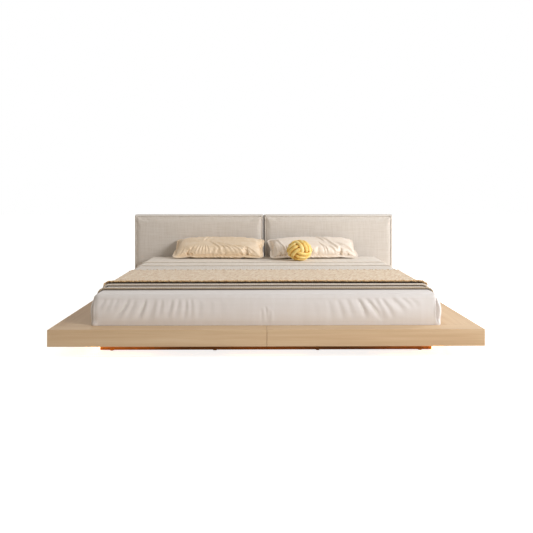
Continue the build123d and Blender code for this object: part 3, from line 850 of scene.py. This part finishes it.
def sheet_shape(placed, angles, z):
    """Moves the fitted sheet out or in: creases on its sides and a tuck at each foot corner."""
    x, y = placed[:, 0], placed[:, 1]
    at_foot = ease((-np.sin(angles) - 0.6) / 0.3)
    lines = [(x0 * mm, (z0 + foot_fold_rise) * mm,
              (x1 + foot_fold_lean * (x1 - x0)) * mm, (z1 - foot_fold_drop) * mm,
              foot_fold_width * width * mm, foot_fold_depth * depth * mm)
             for x0, z0, x1, z1, width, depth in foot_folds]
    push = at_foot * folds(x, z, lines) * (z < mattress_top)
    low = ease((mattress_top - z) / (30 * mm))
    at_side = ease((np.abs(np.cos(angles)) - 0.6) / 0.3)
    slant = y + 0.5 * (z - platform_top)
    waves = np.sin(2 * pi * slant / side_fold_pitch) * np.sin(2 * pi * y / side_fold_beat + 1.3)
    push += at_side * low * side_fold_depth * waves
    hem = np.exp(-(((z - platform_top - hem_height) / (3 * mm)) ** 2))
    push -= hem_depth * hem
    low_corner = ease((platform_top + corner_fill_height - z) / (30 * mm))
    push += corner_fill * low_corner * np.sin(2 * angles) ** 2
    turn = -pi / 2 - angles
    height = np.clip((z - tuck_bottom) / (tuck_top - tuck_bottom), 0, 1)
    for side, tuck_angle, widest in tucks:
        away = (turn * -side - tuck_angle) * (mattress_corner + side_bulge)
        gape = np.maximum(widest * np.sin(pi * height), 0.01 * mm)
        inside = ease(2.2 * (1.2 - np.abs(away) / gape)) * (height > 0) * (height < 1)
        lip = np.exp(-(((np.abs(away) - gape - 4 * mm) / (4 * mm)) ** 2)) * np.sin(pi * height)
        at_corner = (np.abs(away) < 40 * mm) & (y < mattress_middle)
        push += at_corner * (tuck_lip * lip - tuck_depth * inside)
    return push


def make_mattress():
    """The mattress itself, seen when it is lifted out: ticking, tape edges, a flat base."""
    corner = body_corner
    stations = outline(corner, 30 * mm, 30 * mm, 30 * mm, 10)
    levels = [mattress_lo.z, mattress_lo.z + 2 * mm] + list(
        np.arange(mattress_lo.z + 10 * mm, mattress_top, 16 * mm))
    full = mattress_half - corner
    body = bed_skin(
        "mattress_body", stations, corner, -0.5 * mm, levels, (0.05, 0.2, 0.5, full),
        (full, 0.5, 0.2, 0.05, 0.01))
    smooth(body, 50)
    ticking = mattress_ticking()
    dress(body, ticking, "mattress")
    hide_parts("mattress")
    base, angles = stations
    outward = np.column_stack([np.cos(angles), np.sin(angles), np.zeros(len(angles))])
    upward = np.tile((0.0, 0.0, 1.0), (len(angles), 1))
    low = mattress_lo.z + 5 * mm
    centres = np.column_stack([base, np.full(len(base), low)]) + outward * (corner - 7 * mm)
    tape = swept_ring("mattress_tape", centres, outward, upward, round_section(4.5 * mm, 8))
    smooth(tape, 60)
    dress(tape, ticking, "mattress")


def make_fitted_sheet():
    """Fitted sheet: drawn tight over the mattress, creased at the foot, tucked at the corners."""
    stations = outline(mattress_corner, 5 * mm, 16 * mm, 40 * mm, 32)
    levels = np.arange(mattress_lo.z + 5 * mm, mattress_top, 5.5 * mm)
    full = mattress_half - mattress_corner
    steps = (10 * mm, 22 * mm, 36 * mm, 60 * mm, 100 * mm, 150 * mm, 220 * mm, 400 * mm, full)
    grow = sheet_thickness - 0.6 * mm
    cloth = bed_skin(
        "fitted_sheet_cloth", stations, mattress_corner, grow, levels, steps, shape=sheet_shape)
    modify(cloth, "SOLIDIFY", thickness=1.2 * mm, offset=0)
    smooth(cloth, 70)
    dress(cloth, percale_sheet(), "mattress")
    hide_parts("fitted_sheet")


# Cloths laid over the bed

def bed_profile(grow):
    """Half of the bed's cross-section, from the middle out and down, with the way it faces."""
    top = mattress_top + grow
    shoulder = top - top_round
    side = mattress_half + grow + side_bulge * side_outset(shoulder)
    turns = np.radians(np.linspace(90, 0, 16))
    x = [np.linspace(0, side - top_round, 40)[:-1], side - top_round * (1 - np.cos(turns))]
    z = [np.full(39, top), shoulder + top_round * np.sin(turns)]
    down = np.linspace(shoulder, mattress_lo.z, 40)[1:]
    x = np.concatenate(x + [mattress_half + grow + side_bulge * side_outset(down)])
    z = np.concatenate(z + [down])
    s = np.concatenate([[0], np.cumsum(np.hypot(np.diff(x), np.diff(z)))])
    face = np.stack([-np.gradient(z, s), np.gradient(x, s)])
    face /= np.linalg.norm(face, axis=0)
    return s, x, z, face[0], face[1]


def drop_wave(y, below):
    """How far the hanging sides stand out; every cloth follows the same waves."""
    waves = 0.5 + 0.3 * np.sin(2 * pi * y / 0.31) + 0.2 * np.sin(2 * pi * y / 0.173 + 0.8)
    return 7 * mm * waves * ease(below / (110 * mm))


def bed_cloth(name, under, thickness, front, back, drop, path, sway, columns, relief=None):
    """A cloth over the bed: path gives each row's distance behind the front edge and its lift."""
    s, px, pz, fx, fz = bed_profile(under + thickness / 2)
    top = mattress_top + under + thickness
    reach = np.interp(-(top - drop), -pz, s)
    edge = np.interp(-(pz[0] - 1 * mm), -pz, s)
    path = np.array(path)
    rows = len(path) - 1
    cut = (2 * reach, back - front)

    def place(u, v):
        side = np.sign(u - 0.5)
        a = np.abs(u - 0.5) * 2 * reach
        row = v * rows
        behind = np.interp(row, np.arange(rows + 1), path[:, 0])
        lift = np.interp(row, np.arange(rows + 1), path[:, 1])
        near = 1 - ease(behind / (180 * mm))
        y = front + behind + near * sway(side * a)
        out = lift + drop_wave(y, a - edge)
        if relief is not None:
            out = out + relief(side * a, behind)
        x = side * (np.interp(a, s, px) + np.interp(a, s, fx) * out)
        z = np.interp(a, s, pz) + np.interp(a, s, fz) * out
        return np.column_stack([x, y, z])

    cloth = shaped_grid(name, columns, rows, place, cut)
    modify(cloth, "SOLIDIFY", thickness=thickness * 0.9, offset=0)
    return smooth(cloth, 70), cut


def folded_edge(length, nose, coarse, lift):
    """Rows of a cloth whose front edge is turned under: below, round the nose, and back on top.

    The edge stands off what it lies on by the lift, which fades out behind it."""
    path = [(34 * mm, 0.0), (24 * mm, 0.0), (14 * mm, 0.0), (nose + 3 * mm, 0.0)]
    for k in range(7):
        turn = radians(-90 - 180 * k / 6)
        path.append((nose + nose * cos(turn), nose + nose * sin(turn)))
    path += [(nose + 5 * mm, 2 * nose), (18 * mm, 1.95 * nose), (27 * mm, 1.85 * nose),
             (36 * mm, 1.5 * nose), (46 * mm, 0.8 * nose), (58 * mm, 0.2 * nose), (70 * mm, 0.0)]
    path += [(at, 0.0) for at in np.arange(85 * mm, 180 * mm, 15 * mm)]
    path += [(at, 0.0) for at in np.linspace(180 * mm, length, coarse)]
    return [(at, height + lift * (1 - ease(at / (75 * mm)))) for at, height in path]


def lay_cloth(node, under, thickness, drop, nose, coarse, sway, material):
    """A single cloth over the bed, with its front edge turned under."""
    lo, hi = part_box(node)
    cloth, cut = bed_cloth(
        node + "_cloth", under, thickness, lo.y, hi.y, drop,
        folded_edge(hi.y - lo.y, nose, coarse, turned_edge_lift), sway, 180)
    dress(cloth, material, "mattress")
    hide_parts(node)


def make_blanket():
    """Wool blanket, the lowest cloth."""
    lay_cloth(
        "blanket", sheet_thickness, blanket_thickness, 125 * mm, 3 * mm, 40,
        lambda s: 3 * mm * np.sin(2.1 * s + 0.5) + 1.2 * mm * np.sin(9 * s),
        blanket_wool())


def make_coverlet():
    """Cotton coverlet on the blanket, its turned edge a hand behind the blanket's."""
    lay_cloth(
        "coverlet", sheet_thickness + blanket_thickness, coverlet_thickness, 112 * mm, 3.4 * mm, 36,
        lambda s: 3 * mm * np.sin(1.7 * s + 2) + 1.5 * mm * np.sin(8 * s + 1),
        coverlet_cotton())


def make_top_sheet():
    """Top sheet turned down towards the foot in two folds."""
    lo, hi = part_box("top_sheet")
    under = sheet_thickness + blanket_thickness + coverlet_thickness
    fold_starts = (lo.y, lo.y + 205 * mm)
    layers = []
    for i, start in enumerate(fold_starts):
        cloth, cut = bed_cloth(
            "top_sheet_fold_%d" % i, under + i * turned_thickness, turned_thickness, start, hi.y,
            100 * mm, folded_edge(hi.y - start, 2.4 * mm, 14, 0.8 * mm),
            lambda s, i=i: 3 * mm * np.sin(2.4 * s + i * 2) + 1.5 * mm * np.sin(11 * s), 160)
        layers.append(cloth)
    folded = join("top_sheet_cloth", layers)
    dress(folded, turned_cotton(), "mattress")
    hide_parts("top_sheet")


throw_under = sheet_thickness + blanket_thickness + coverlet_thickness
throw_lo, throw_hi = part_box("throw")
throw_thickness = 8 * mm
throw_drop = 138 * mm
rib_pitch = 26 * mm
rib_height = 2.6 * mm
loop_pitch = 15 * mm
loop_radius = 6 * mm
yarn_radius = 3.4 * mm
throw_lift = 15 * mm


def throw_relief(s, t):
    """Slanting cable ribs of the knit, which change side every few rows."""
    swing = np.abs((t / (52 * mm)) % 2 - 1) * 0.9
    rib = np.abs(np.sin(pi * (s / rib_pitch + swing)))
    course = 0.5 + 0.5 * np.cos(2 * pi * t / (13 * mm))
    return rib_height * rib * (0.75 + 0.25 * course)


def throw_sway(s):
    """How unevenly the throw's front edge lies."""
    return 5 * mm * np.sin(2.6 * s + 1.1) + 2.5 * mm * np.sin(7.3 * s) + mm * np.sin(23 * s)


def make_throw():
    """Chunky knitted throw across the bed, with looped edges."""
    length = throw_hi.y - throw_lo.y - 2 * loop_radius
    front = throw_lo.y + loop_radius
    rows = 100
    path = [(length * k / rows, throw_lift * (1 - ease(length * k / rows / (70 * mm))))
            for k in range(rows + 1)]
    cloth, cut = bed_cloth(
        "throw_knit_cloth", throw_under, throw_thickness - rib_height, front, front + length,
        throw_drop, path, throw_sway, 360, throw_relief)
    dress(cloth, throw_knit(), "mattress")
    loops = throw_loops(cut[0] / 2, front, length)
    dress(loops, fringe_yarn(), "mattress")
    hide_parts("throw")


def throw_loops(reach, front, length):
    """Rows of small yarn loops along the throw's front and rear edges."""
    s, px, pz, fx, fz = bed_profile(throw_under + throw_thickness / 2)
    edge = np.interp(-(pz[0] - 1 * mm), -pz, s)
    turns = np.radians(np.linspace(-20, 200, 9))
    around = np.radians(np.arange(0, 360, 60))
    count = int(2 * reach / loop_pitch)
    loops = []

    def loop(u, v):
        t = turns[np.round(u * 8).astype(int)]
        a = around[np.round(v * 6).astype(int) % 6]
        ring = loop_radius + yarn_radius * np.cos(a)
        return np.column_stack([ring * np.cos(t), -ring * np.sin(t), yarn_radius * np.sin(a)])

    model = close_seams(shaped_grid("loop", 8, 6, loop))
    shape = points_of(model)
    for i in range(count):
        at = -reach + loop_pitch * (i + 0.5)
        side = np.sign(at)
        a = abs(at)
        for end in (0, 1):
            y = front + (throw_sway(at) if end == 0 else length)
            out = drop_wave(y, a - edge) + 1.5 * mm * sin(2.4 * i + end)
            out += throw_lift * (1 - end)
            face = Vector((side * np.interp(a, s, fx), 0, np.interp(a, s, fz))).normalized()
            across = Vector((face.z, 0, -face.x))
            middle = Vector((side * (np.interp(a, s, px) + np.interp(a, s, fx) * out), y,
                             np.interp(a, s, pz) + np.interp(a, s, fz) * out))
            outwards = 1 if end == 0 else -1
            tilt = 0.35 * sin(1.7 * i)
            twin = model.copy()
            twin.data = model.data.copy()
            bpy.context.scene.collection.objects.link(twin)
            placed = (np.outer(shape[:, 0], across)
                      + np.outer(shape[:, 1] * outwards, (0, 1, 0))
                      + np.outer(shape[:, 2] + tilt * shape[:, 0], face))
            set_points(twin, placed + np.array(middle))
            loops.append(twin)
    bpy.data.objects.remove(model)
    made = join("throw_edge_loops", loops)
    edit(made, (bpy.ops.mesh.normals_make_consistent, {"inside": False}))
    return smooth(made, 80)


# Pillows

pillow_cell = 6 * mm
pillow_start_thickness = 12 * mm
pillow_front_bulge = 66 * mm
pillow_back_bulge = 50 * mm
outline_share = 0.8
arch_share = 0.5
crease_width = 0.7
crease_height = 1.15
flange_lap = 5 * mm

# Creases on the pillows: places across and up the face, from its lower middle, width, height.
# In mm, before crease_width and crease_height scale them all together.
left_pillow_folds = [
    (-88, 150, 30, 24, 9, 6.5), (-52, 150, 80, 20, 8, 5.0), (-30, 138, 128, 18, 9, 6.5),
    (10, 128, 160, 16, 8, 5.0), (40, 112, 204, 16, 9, 6.0), (96, 104, 240, 16, 8, 5.0),
    (130, 92, 290, 14, 9, 6.0), (190, 84, 324, 12, 9, 6.5), (-170, 120, -262, 12, 7, 2.6),
    (-150, 108, -214, 12, 7, 3.0), (-132, 110, -178, 12, 6, 3.0), (-118, 104, -144, 12, 6, 3.0),
    (-104, 100, -108, 12, 6, 3.0), (-92, 98, -70, 12, 6, 3.0), (-262, 90, -318, 14, 9, 3.0),
    (-120, 150, -60, 240, 14, 3.0), (-96, 140, -20, 236, 14, 2.4), (-130, 150, -200, 210, 16, 2.4),
]
right_pillow_folds = [
    (20, 240, 96, 120, 9, 6.0), (52, 236, 150, 96, 9, 6.0), (84, 176, 196, 22, 10, 7.0),
    (30, 150, 86, 14, 8, 4.5), (140, 150, 262, 54, 10, 6.0), (176, 128, 330, 22, 10, 7.0),
    (220, 104, 336, 12, 8, 5.0), (-296, 220, -262, 60, 10, 4.5), (-262, 130, -236, 18, 8, 4.0),
    (-306, 120, -310, 20, 8, 4.0), (-222, 100, -232, 14, 8, 3.0), (108, 90, 176, 12, 8, 4.5),
    (60, 110, 110, 12, 8, 4.0), (290, 230, 318, 120, 9, 4.0),
]


def pillow_case_shape(name, width, drawn_over):
    """A case of two flat faces sewn round their edge, blown up by its filling."""
    across = (width - 2 * pillow_flange) * drawn_over
    up = (pillow_height - 2 * pillow_flange) * drawn_over

    def place(u, v):
        return np.column_stack([(u - 0.5) * across, (v - 0.5) * up, np.zeros(len(u))])

    case = shaped_grid(name, int(across / pillow_cell), int(up / pillow_cell), place)
    modify(case, "SOLIDIFY", thickness=pillow_start_thickness, offset=0)
    fill_case(case, 9, 90 * mm, np.zeros(len(case.data.vertices), bool), frames=22,
              growth=0.03, stiffness=12, bending=0.12)
    return case


def straighten(p, axis, length, share):
    """Moves an outline that the filling has drawn in back towards a straight-sided one."""
    other = p[:, 1 - axis]
    bins = np.linspace(other.min(), other.max(), 28)
    place = np.clip(np.digitize(other, bins) - 1, 0, len(bins) - 2)
    lows = np.array([p[place == k, axis].min() for k in range(len(bins) - 1)])
    highs = np.array([p[place == k, axis].max() for k in range(len(bins) - 1)])
    middles = (bins[1:] + bins[:-1]) / 2
    low, high = np.interp(other, middles, lows), np.interp(other, middles, highs)
    straight = ((p[:, axis] - low) / (high - low) - 0.5) * length
    p[:, axis] += share * (straight - p[:, axis])


def fit_case(case, width, height):
    """Brings a filled case to its sewn size, straightens its sides and evens its crown."""
    p = points_of(case)
    p[:, 0] *= width / np.ptp(p[:, 0])
    p[:, 1] *= height / np.ptp(p[:, 1])
    p[:, 0] -= (p[:, 0].max() + p[:, 0].min()) / 2
    p[:, 1] -= (p[:, 1].max() + p[:, 1].min()) / 2
    for axis, length in ((0, width), (1, height)):
        straighten(p, axis, length, outline_share)
    p[:, 2] *= np.where(p[:, 2] > 0, pillow_front_bulge / p[:, 2].max(),
                        -pillow_back_bulge / p[:, 2].min())
    arch = (1 - np.minimum(1, np.abs(2 * p[:, 0] / width)) ** 4) * (
        1 - np.minimum(1, np.abs(2 * p[:, 1] / height)) ** 3)
    full = np.where(p[:, 2] > 0, pillow_front_bulge, -pillow_back_bulge) * arch**0.62
    p[:, 2] += arch_share * (full - p[:, 2]) * (np.abs(p[:, 2]) > 4 * mm)
    set_points(case, p)
    return modify(case, "SUBSURF", levels=1, render_levels=1)


def creased(case, lines):
    """The case's points after its face has been creased along the lines."""
    p = points_of(case)
    face = normals_of(case)
    scaled = [(x0 * mm, y0 * mm, x1 * mm, y1 * mm, crease_width * size * mm,
               crease_height * height * mm) for x0, y0, x1, y1, size, height in lines]
    height = folds(p[:, 0], p[:, 1] + pillow_height / 2, scaled, bend=0.06)
    return p + face * (height * ease(face[:, 2] * 3))[:, None]


def make_pillow(node, width, turn, lines, material):
    """A filled pillow in a flanged sateen case, creased where it slumps."""
    lo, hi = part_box(node)
    spin = Matrix.Rotation(turn, 3, "Z") @ Matrix.Rotation(pillow_lean, 3, "X")
    sewn_width = width - 2 * pillow_flange
    sewn_height = pillow_height - 2 * pillow_flange
    case = fit_case(pillow_case_shape(node + "_case", width, 1.05), sewn_width, sewn_height)
    p = creased(case, lines)
    flange = pillow_flange_ring(node + "_flange", seam_loop(p, sewn_width, sewn_height))
    raised = np.array((0, pillow_height / 2, 0))
    placed = (p + raised) @ np.array(spin).T
    rim = (points_of(flange) + raised) @ np.array(spin).T
    both = np.concatenate([placed, rim])
    shift = np.array([(lo.x + hi.x) / 2, (lo.y + hi.y) / 2, 0]) - np.array(
        [(both[:, 0].max() + both[:, 0].min()) / 2, (both[:, 1].max() + both[:, 1].min()) / 2, 0])
    shift[2] = lo.z - np.percentile(both[:, 2], 2)
    for piece, places in ((case, placed), (flange, rim)):
        places = places + shift
        places[:, 2] = np.maximum(places[:, 2], lo.z + 0.2 * mm)
        set_points(piece, places)
        smooth(piece, 75)
        dress(piece, material, node)
    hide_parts(node)


def seam_loop(p, width, height):
    """The seam round a pillow as a closed loop of evenly spaced places."""
    count = 240
    angles = np.linspace(0, 2 * pi, count, endpoint=False)
    loop = []
    for angle in angles:
        way = np.array((cos(angle), sin(angle)))
        reach = min(width / 2 / max(abs(way[0]), 1e-6), height / 2 / max(abs(way[1]), 1e-6))
        spot = way * reach
        gap = np.hypot(p[:, 0] - spot[0], p[:, 1] - spot[1]) + 0.6 * np.abs(p[:, 2])
        near = np.argsort(gap)[:6]
        loop.append(p[near].mean(axis=0))
    loop = np.array(loop)
    for _ in range(2):
        loop = (np.roll(loop, 1, axis=0) + 2 * loop + np.roll(loop, -1, axis=0)) / 4
    loop[:, 2] *= 0.3
    return loop


def pillow_flange_ring(name, seam):
    """The flat border of the case: a narrow double cloth that ripples where it is gathered."""
    along = np.roll(seam, -1, axis=0) - np.roll(seam, 1, axis=0)
    outward = np.column_stack([along[:, 1], -along[:, 0], np.zeros(len(seam))])
    outward /= np.linalg.norm(outward, axis=1)[:, None]
    across = np.tile((0.0, 0.0, 1.0), (len(seam), 1))
    turn = np.arange(len(seam)) / len(seam) * 2 * pi
    ripple = 1.6 * mm * np.sin(31 * turn) + 1.4 * mm * np.sin(17 * turn + 1)
    steps = 6

    def place(u, v):
        i = np.round(u * len(seam)).astype(int) % len(seam)
        out = v * (pillow_flange + flange_lap) - flange_lap
        lift = ripple[i] * ease(v * 1.4)
        return seam[i] + outward[i] * out[:, None] + across[i] * lift[:, None]

    ring = shaped_grid(name, len(seam), steps, place)
    close_seams(ring)
    return modify(ring, "SOLIDIFY", thickness=2.4 * mm, offset=0)


# Round knotted cushion

knot_strand = 17 * mm
strand_spacing = 1.9 * knot_strand
strand_dip = 1.75 * knot_strand
knot_ring_steps = 96
knot_facing = Vector((-1, 1, 1))
knot_roll = radians(73)


def knot_ring(index, row, centre, radius, flatten):
    """One strand of the knot: it runs over one band and under the next, four times round."""
    turns = np.arange(knot_ring_steps) / knot_ring_steps * 2 * pi
    offset = row * strand_spacing
    over = np.sqrt((radius - knot_strand) ** 2 - offset**2)
    under = radius - knot_strand - strand_dip
    blend_over = ease((np.abs(np.cos(turns)) - 0.38) / 0.42)
    reach = under + (over - under) * blend_over
    first = np.roll(np.array((1.0, 0, 0)), index)
    second = np.roll(np.array((0, 1.0, 0)), index)
    third = np.roll(np.array((0, 0, 1.0)), index)
    path = (np.outer(reach * np.cos(turns), first) + np.outer(reach * np.sin(turns), second)
            + offset * third)
    along = np.roll(path, -1, axis=0) - np.roll(path, 1, axis=0)
    along /= np.linalg.norm(along, axis=1)[:, None]
    sideways = np.tile(third, (len(turns), 1))
    outward = np.cross(along, sideways)
    outward /= np.linalg.norm(outward, axis=1)[:, None]
    name = "knot_strand_%d_%d" % (index, row + 1)
    strand = swept_ring(name, path, outward, sideways, round_section(knot_strand, 16, 0.96))
    p = points_of(strand)
    towards_foot = knot_facing.rotation_difference(Vector((0, -1, 0))).to_matrix()
    tilt = Matrix.Rotation(knot_roll, 3, "Y") @ towards_foot
    p = p @ np.array(tilt).T
    p[:, 2] *= flatten
    return set_points(strand, p + np.array(centre))


def make_knot_cushion():
    """Nine filled strands in three bands, woven over and under each other into a ball."""
    lo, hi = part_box("knot_cushion")
    centre = (lo + hi) / 2
    radius = (hi.x - lo.x) / 2
    flatten = (hi.z - lo.z) / (hi.x - lo.x)
    strands = [knot_ring(index, row, centre, radius, flatten)
               for index in range(3) for row in (-1, 0, 1)]
    ball = join("knot_ball", strands)
    p = points_of(ball)
    face = normals_of(ball)
    ripple = np.sin(p[:, 0] * 260 + 3 * np.sin(p[:, 2] * 90))
    ripple = ripple * np.sin(p[:, 1] * 230 + p[:, 2] * 150)
    p += face * (0.7 * mm * ripple)[:, None]
    p[:, 2] = np.maximum(p[:, 2], lo.z + 0.2 * mm)
    set_points(ball, p)
    smooth(ball, 80)
    dress(ball, knot_plush(centre, radius, flatten), "knot_cushion")
    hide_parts("knot_cushion")


# Camera, floor and lamps

def add_camera():
    """The photograph's viewpoint: low, in front of the foot, a hair to the left."""
    bpy.ops.object.camera_add(location=(-0.038, -4.483, 0.843), rotation=(pi / 2, 0, -0.0109))
    camera = bpy.context.object
    camera.data.lens = 45.12
    camera.data.sensor_width = 36
    camera.data.shift_y = -0.1389
    bpy.context.scene.camera = camera


def seen_directly(tree):
    """1 for what the camera sees, straight or in a mirror or glass, and 0 for other light."""
    path = put(tree, "LightPath")
    first = put(tree, "Math", {0: path.outputs["Is Camera Ray"],
                               1: path.outputs["Is Glossy Ray"]}, operation="MAXIMUM")
    return put(tree, "Math", {0: first.outputs[0],
                              1: path.outputs["Is Transmission Ray"]},
               operation="MAXIMUM").outputs[0]


def add_floor():
    """A pale floor that the camera sees as white, with a faint shadow left on it."""
    bpy.ops.object.select_all(action="DESELECT")
    bpy.ops.mesh.primitive_plane_add(size=40, location=(0, 0, 0))
    floor = named("studio_floor")
    material, tree, shader = finish("painted_floor", Roughness=0.9)
    shader.inputs["Base Color"].default_value = linear("#DCD9D4")
    shader.inputs["Emission Color"].default_value = (1, 1, 1, 1)
    glow = put(tree, "Math", {0: seen_directly(tree), 1: 0.84}, operation="MULTIPLY")
    tree.links.new(glow.outputs[0], shader.inputs["Emission Strength"])
    floor.data.materials.append(material)


def add_room():
    """An even white room, dimmer as light than it looks."""
    world = bpy.data.worlds.new("white_room")
    bpy.context.scene.world = world
    world.use_nodes = True
    tree = world.node_tree
    background = tree.nodes["Background"]
    tint = put(
        tree, "ValToRGB", {"Fac": seen_directly(tree)}, stops=[(0.0, "#FFF6EC"), (1.0, "#FFFFFF")])
    strength = put(tree, "MapRange", {"Value": seen_directly(tree), "To Min": 0.42, "To Max": 1.0})
    tree.links.new(tint.outputs["Color"], background.inputs["Color"])
    tree.links.new(strength.outputs[0], background.inputs["Strength"])


def add_lamp(name, place, aim, size, power, colour):
    """A soft lamp that points at a place; size is its width and height."""
    bpy.ops.object.light_add(type="AREA", location=place)
    lamp = bpy.context.object
    lamp.name = lamp.data.name = name
    lamp.data.shape = "RECTANGLE"
    lamp.data.size, lamp.data.size_y = size
    lamp.data.energy = power
    lamp.data.color = linear(colour)[:3]
    lamp.rotation_euler = (Vector(aim) - Vector(place)).to_track_quat("-Z", "Y").to_euler()


def add_lamps():
    """A key from the front right, a weaker lamp on that side, and the plinth's warm glow.

    The three glow lamps lie on the floor under the front ledge and help the light strip."""
    add_lamp("key", (4.2, -3.8, 2.5), (0.2, 0, 0.3), (1.6, 1.6), 202, "#F8FAFF")
    add_lamp("side", (3.8, 0.2, 2.2), (0, 0.2, 0.3), (1.2, 1.2), 72, "#F8FAFF")
    for name, x, power in (("left", -0.8, 0.13), ("middle", 0, 0.05), ("right", 0.8, 0.08)):
        add_lamp("glow_" + name, (x, -1.03, 0.012), (x, -0.91, 0.04), (0.4, 0.01), power,
                 "#FFB347")


dress_cad_nodes()
make_headboard_pads()
make_mattress()
make_fitted_sheet()
make_blanket()
make_coverlet()
make_top_sheet()
make_throw()
tan_stops = [(0.3, "#E0C6A2"), (0.5, "#E8D1B1"), (0.7, "#F0DDC4")]
peach_stops = [(0.3, "#E9D8C4"), (0.5, "#EDDFCE"), (0.7, "#F2E7DA")]
make_pillow("pillow_left", 716 * mm, radians(-3), left_pillow_folds,
            sateen("sateen_tan", tan_stops))
make_pillow("pillow_right", 700 * mm, radians(5), right_pillow_folds,
            sateen("sateen_peach", peach_stops))
make_knot_cushion()
add_camera()
add_floor()
add_room()
add_lamps()
bpy.context.scene.view_settings.view_transform = "Standard"
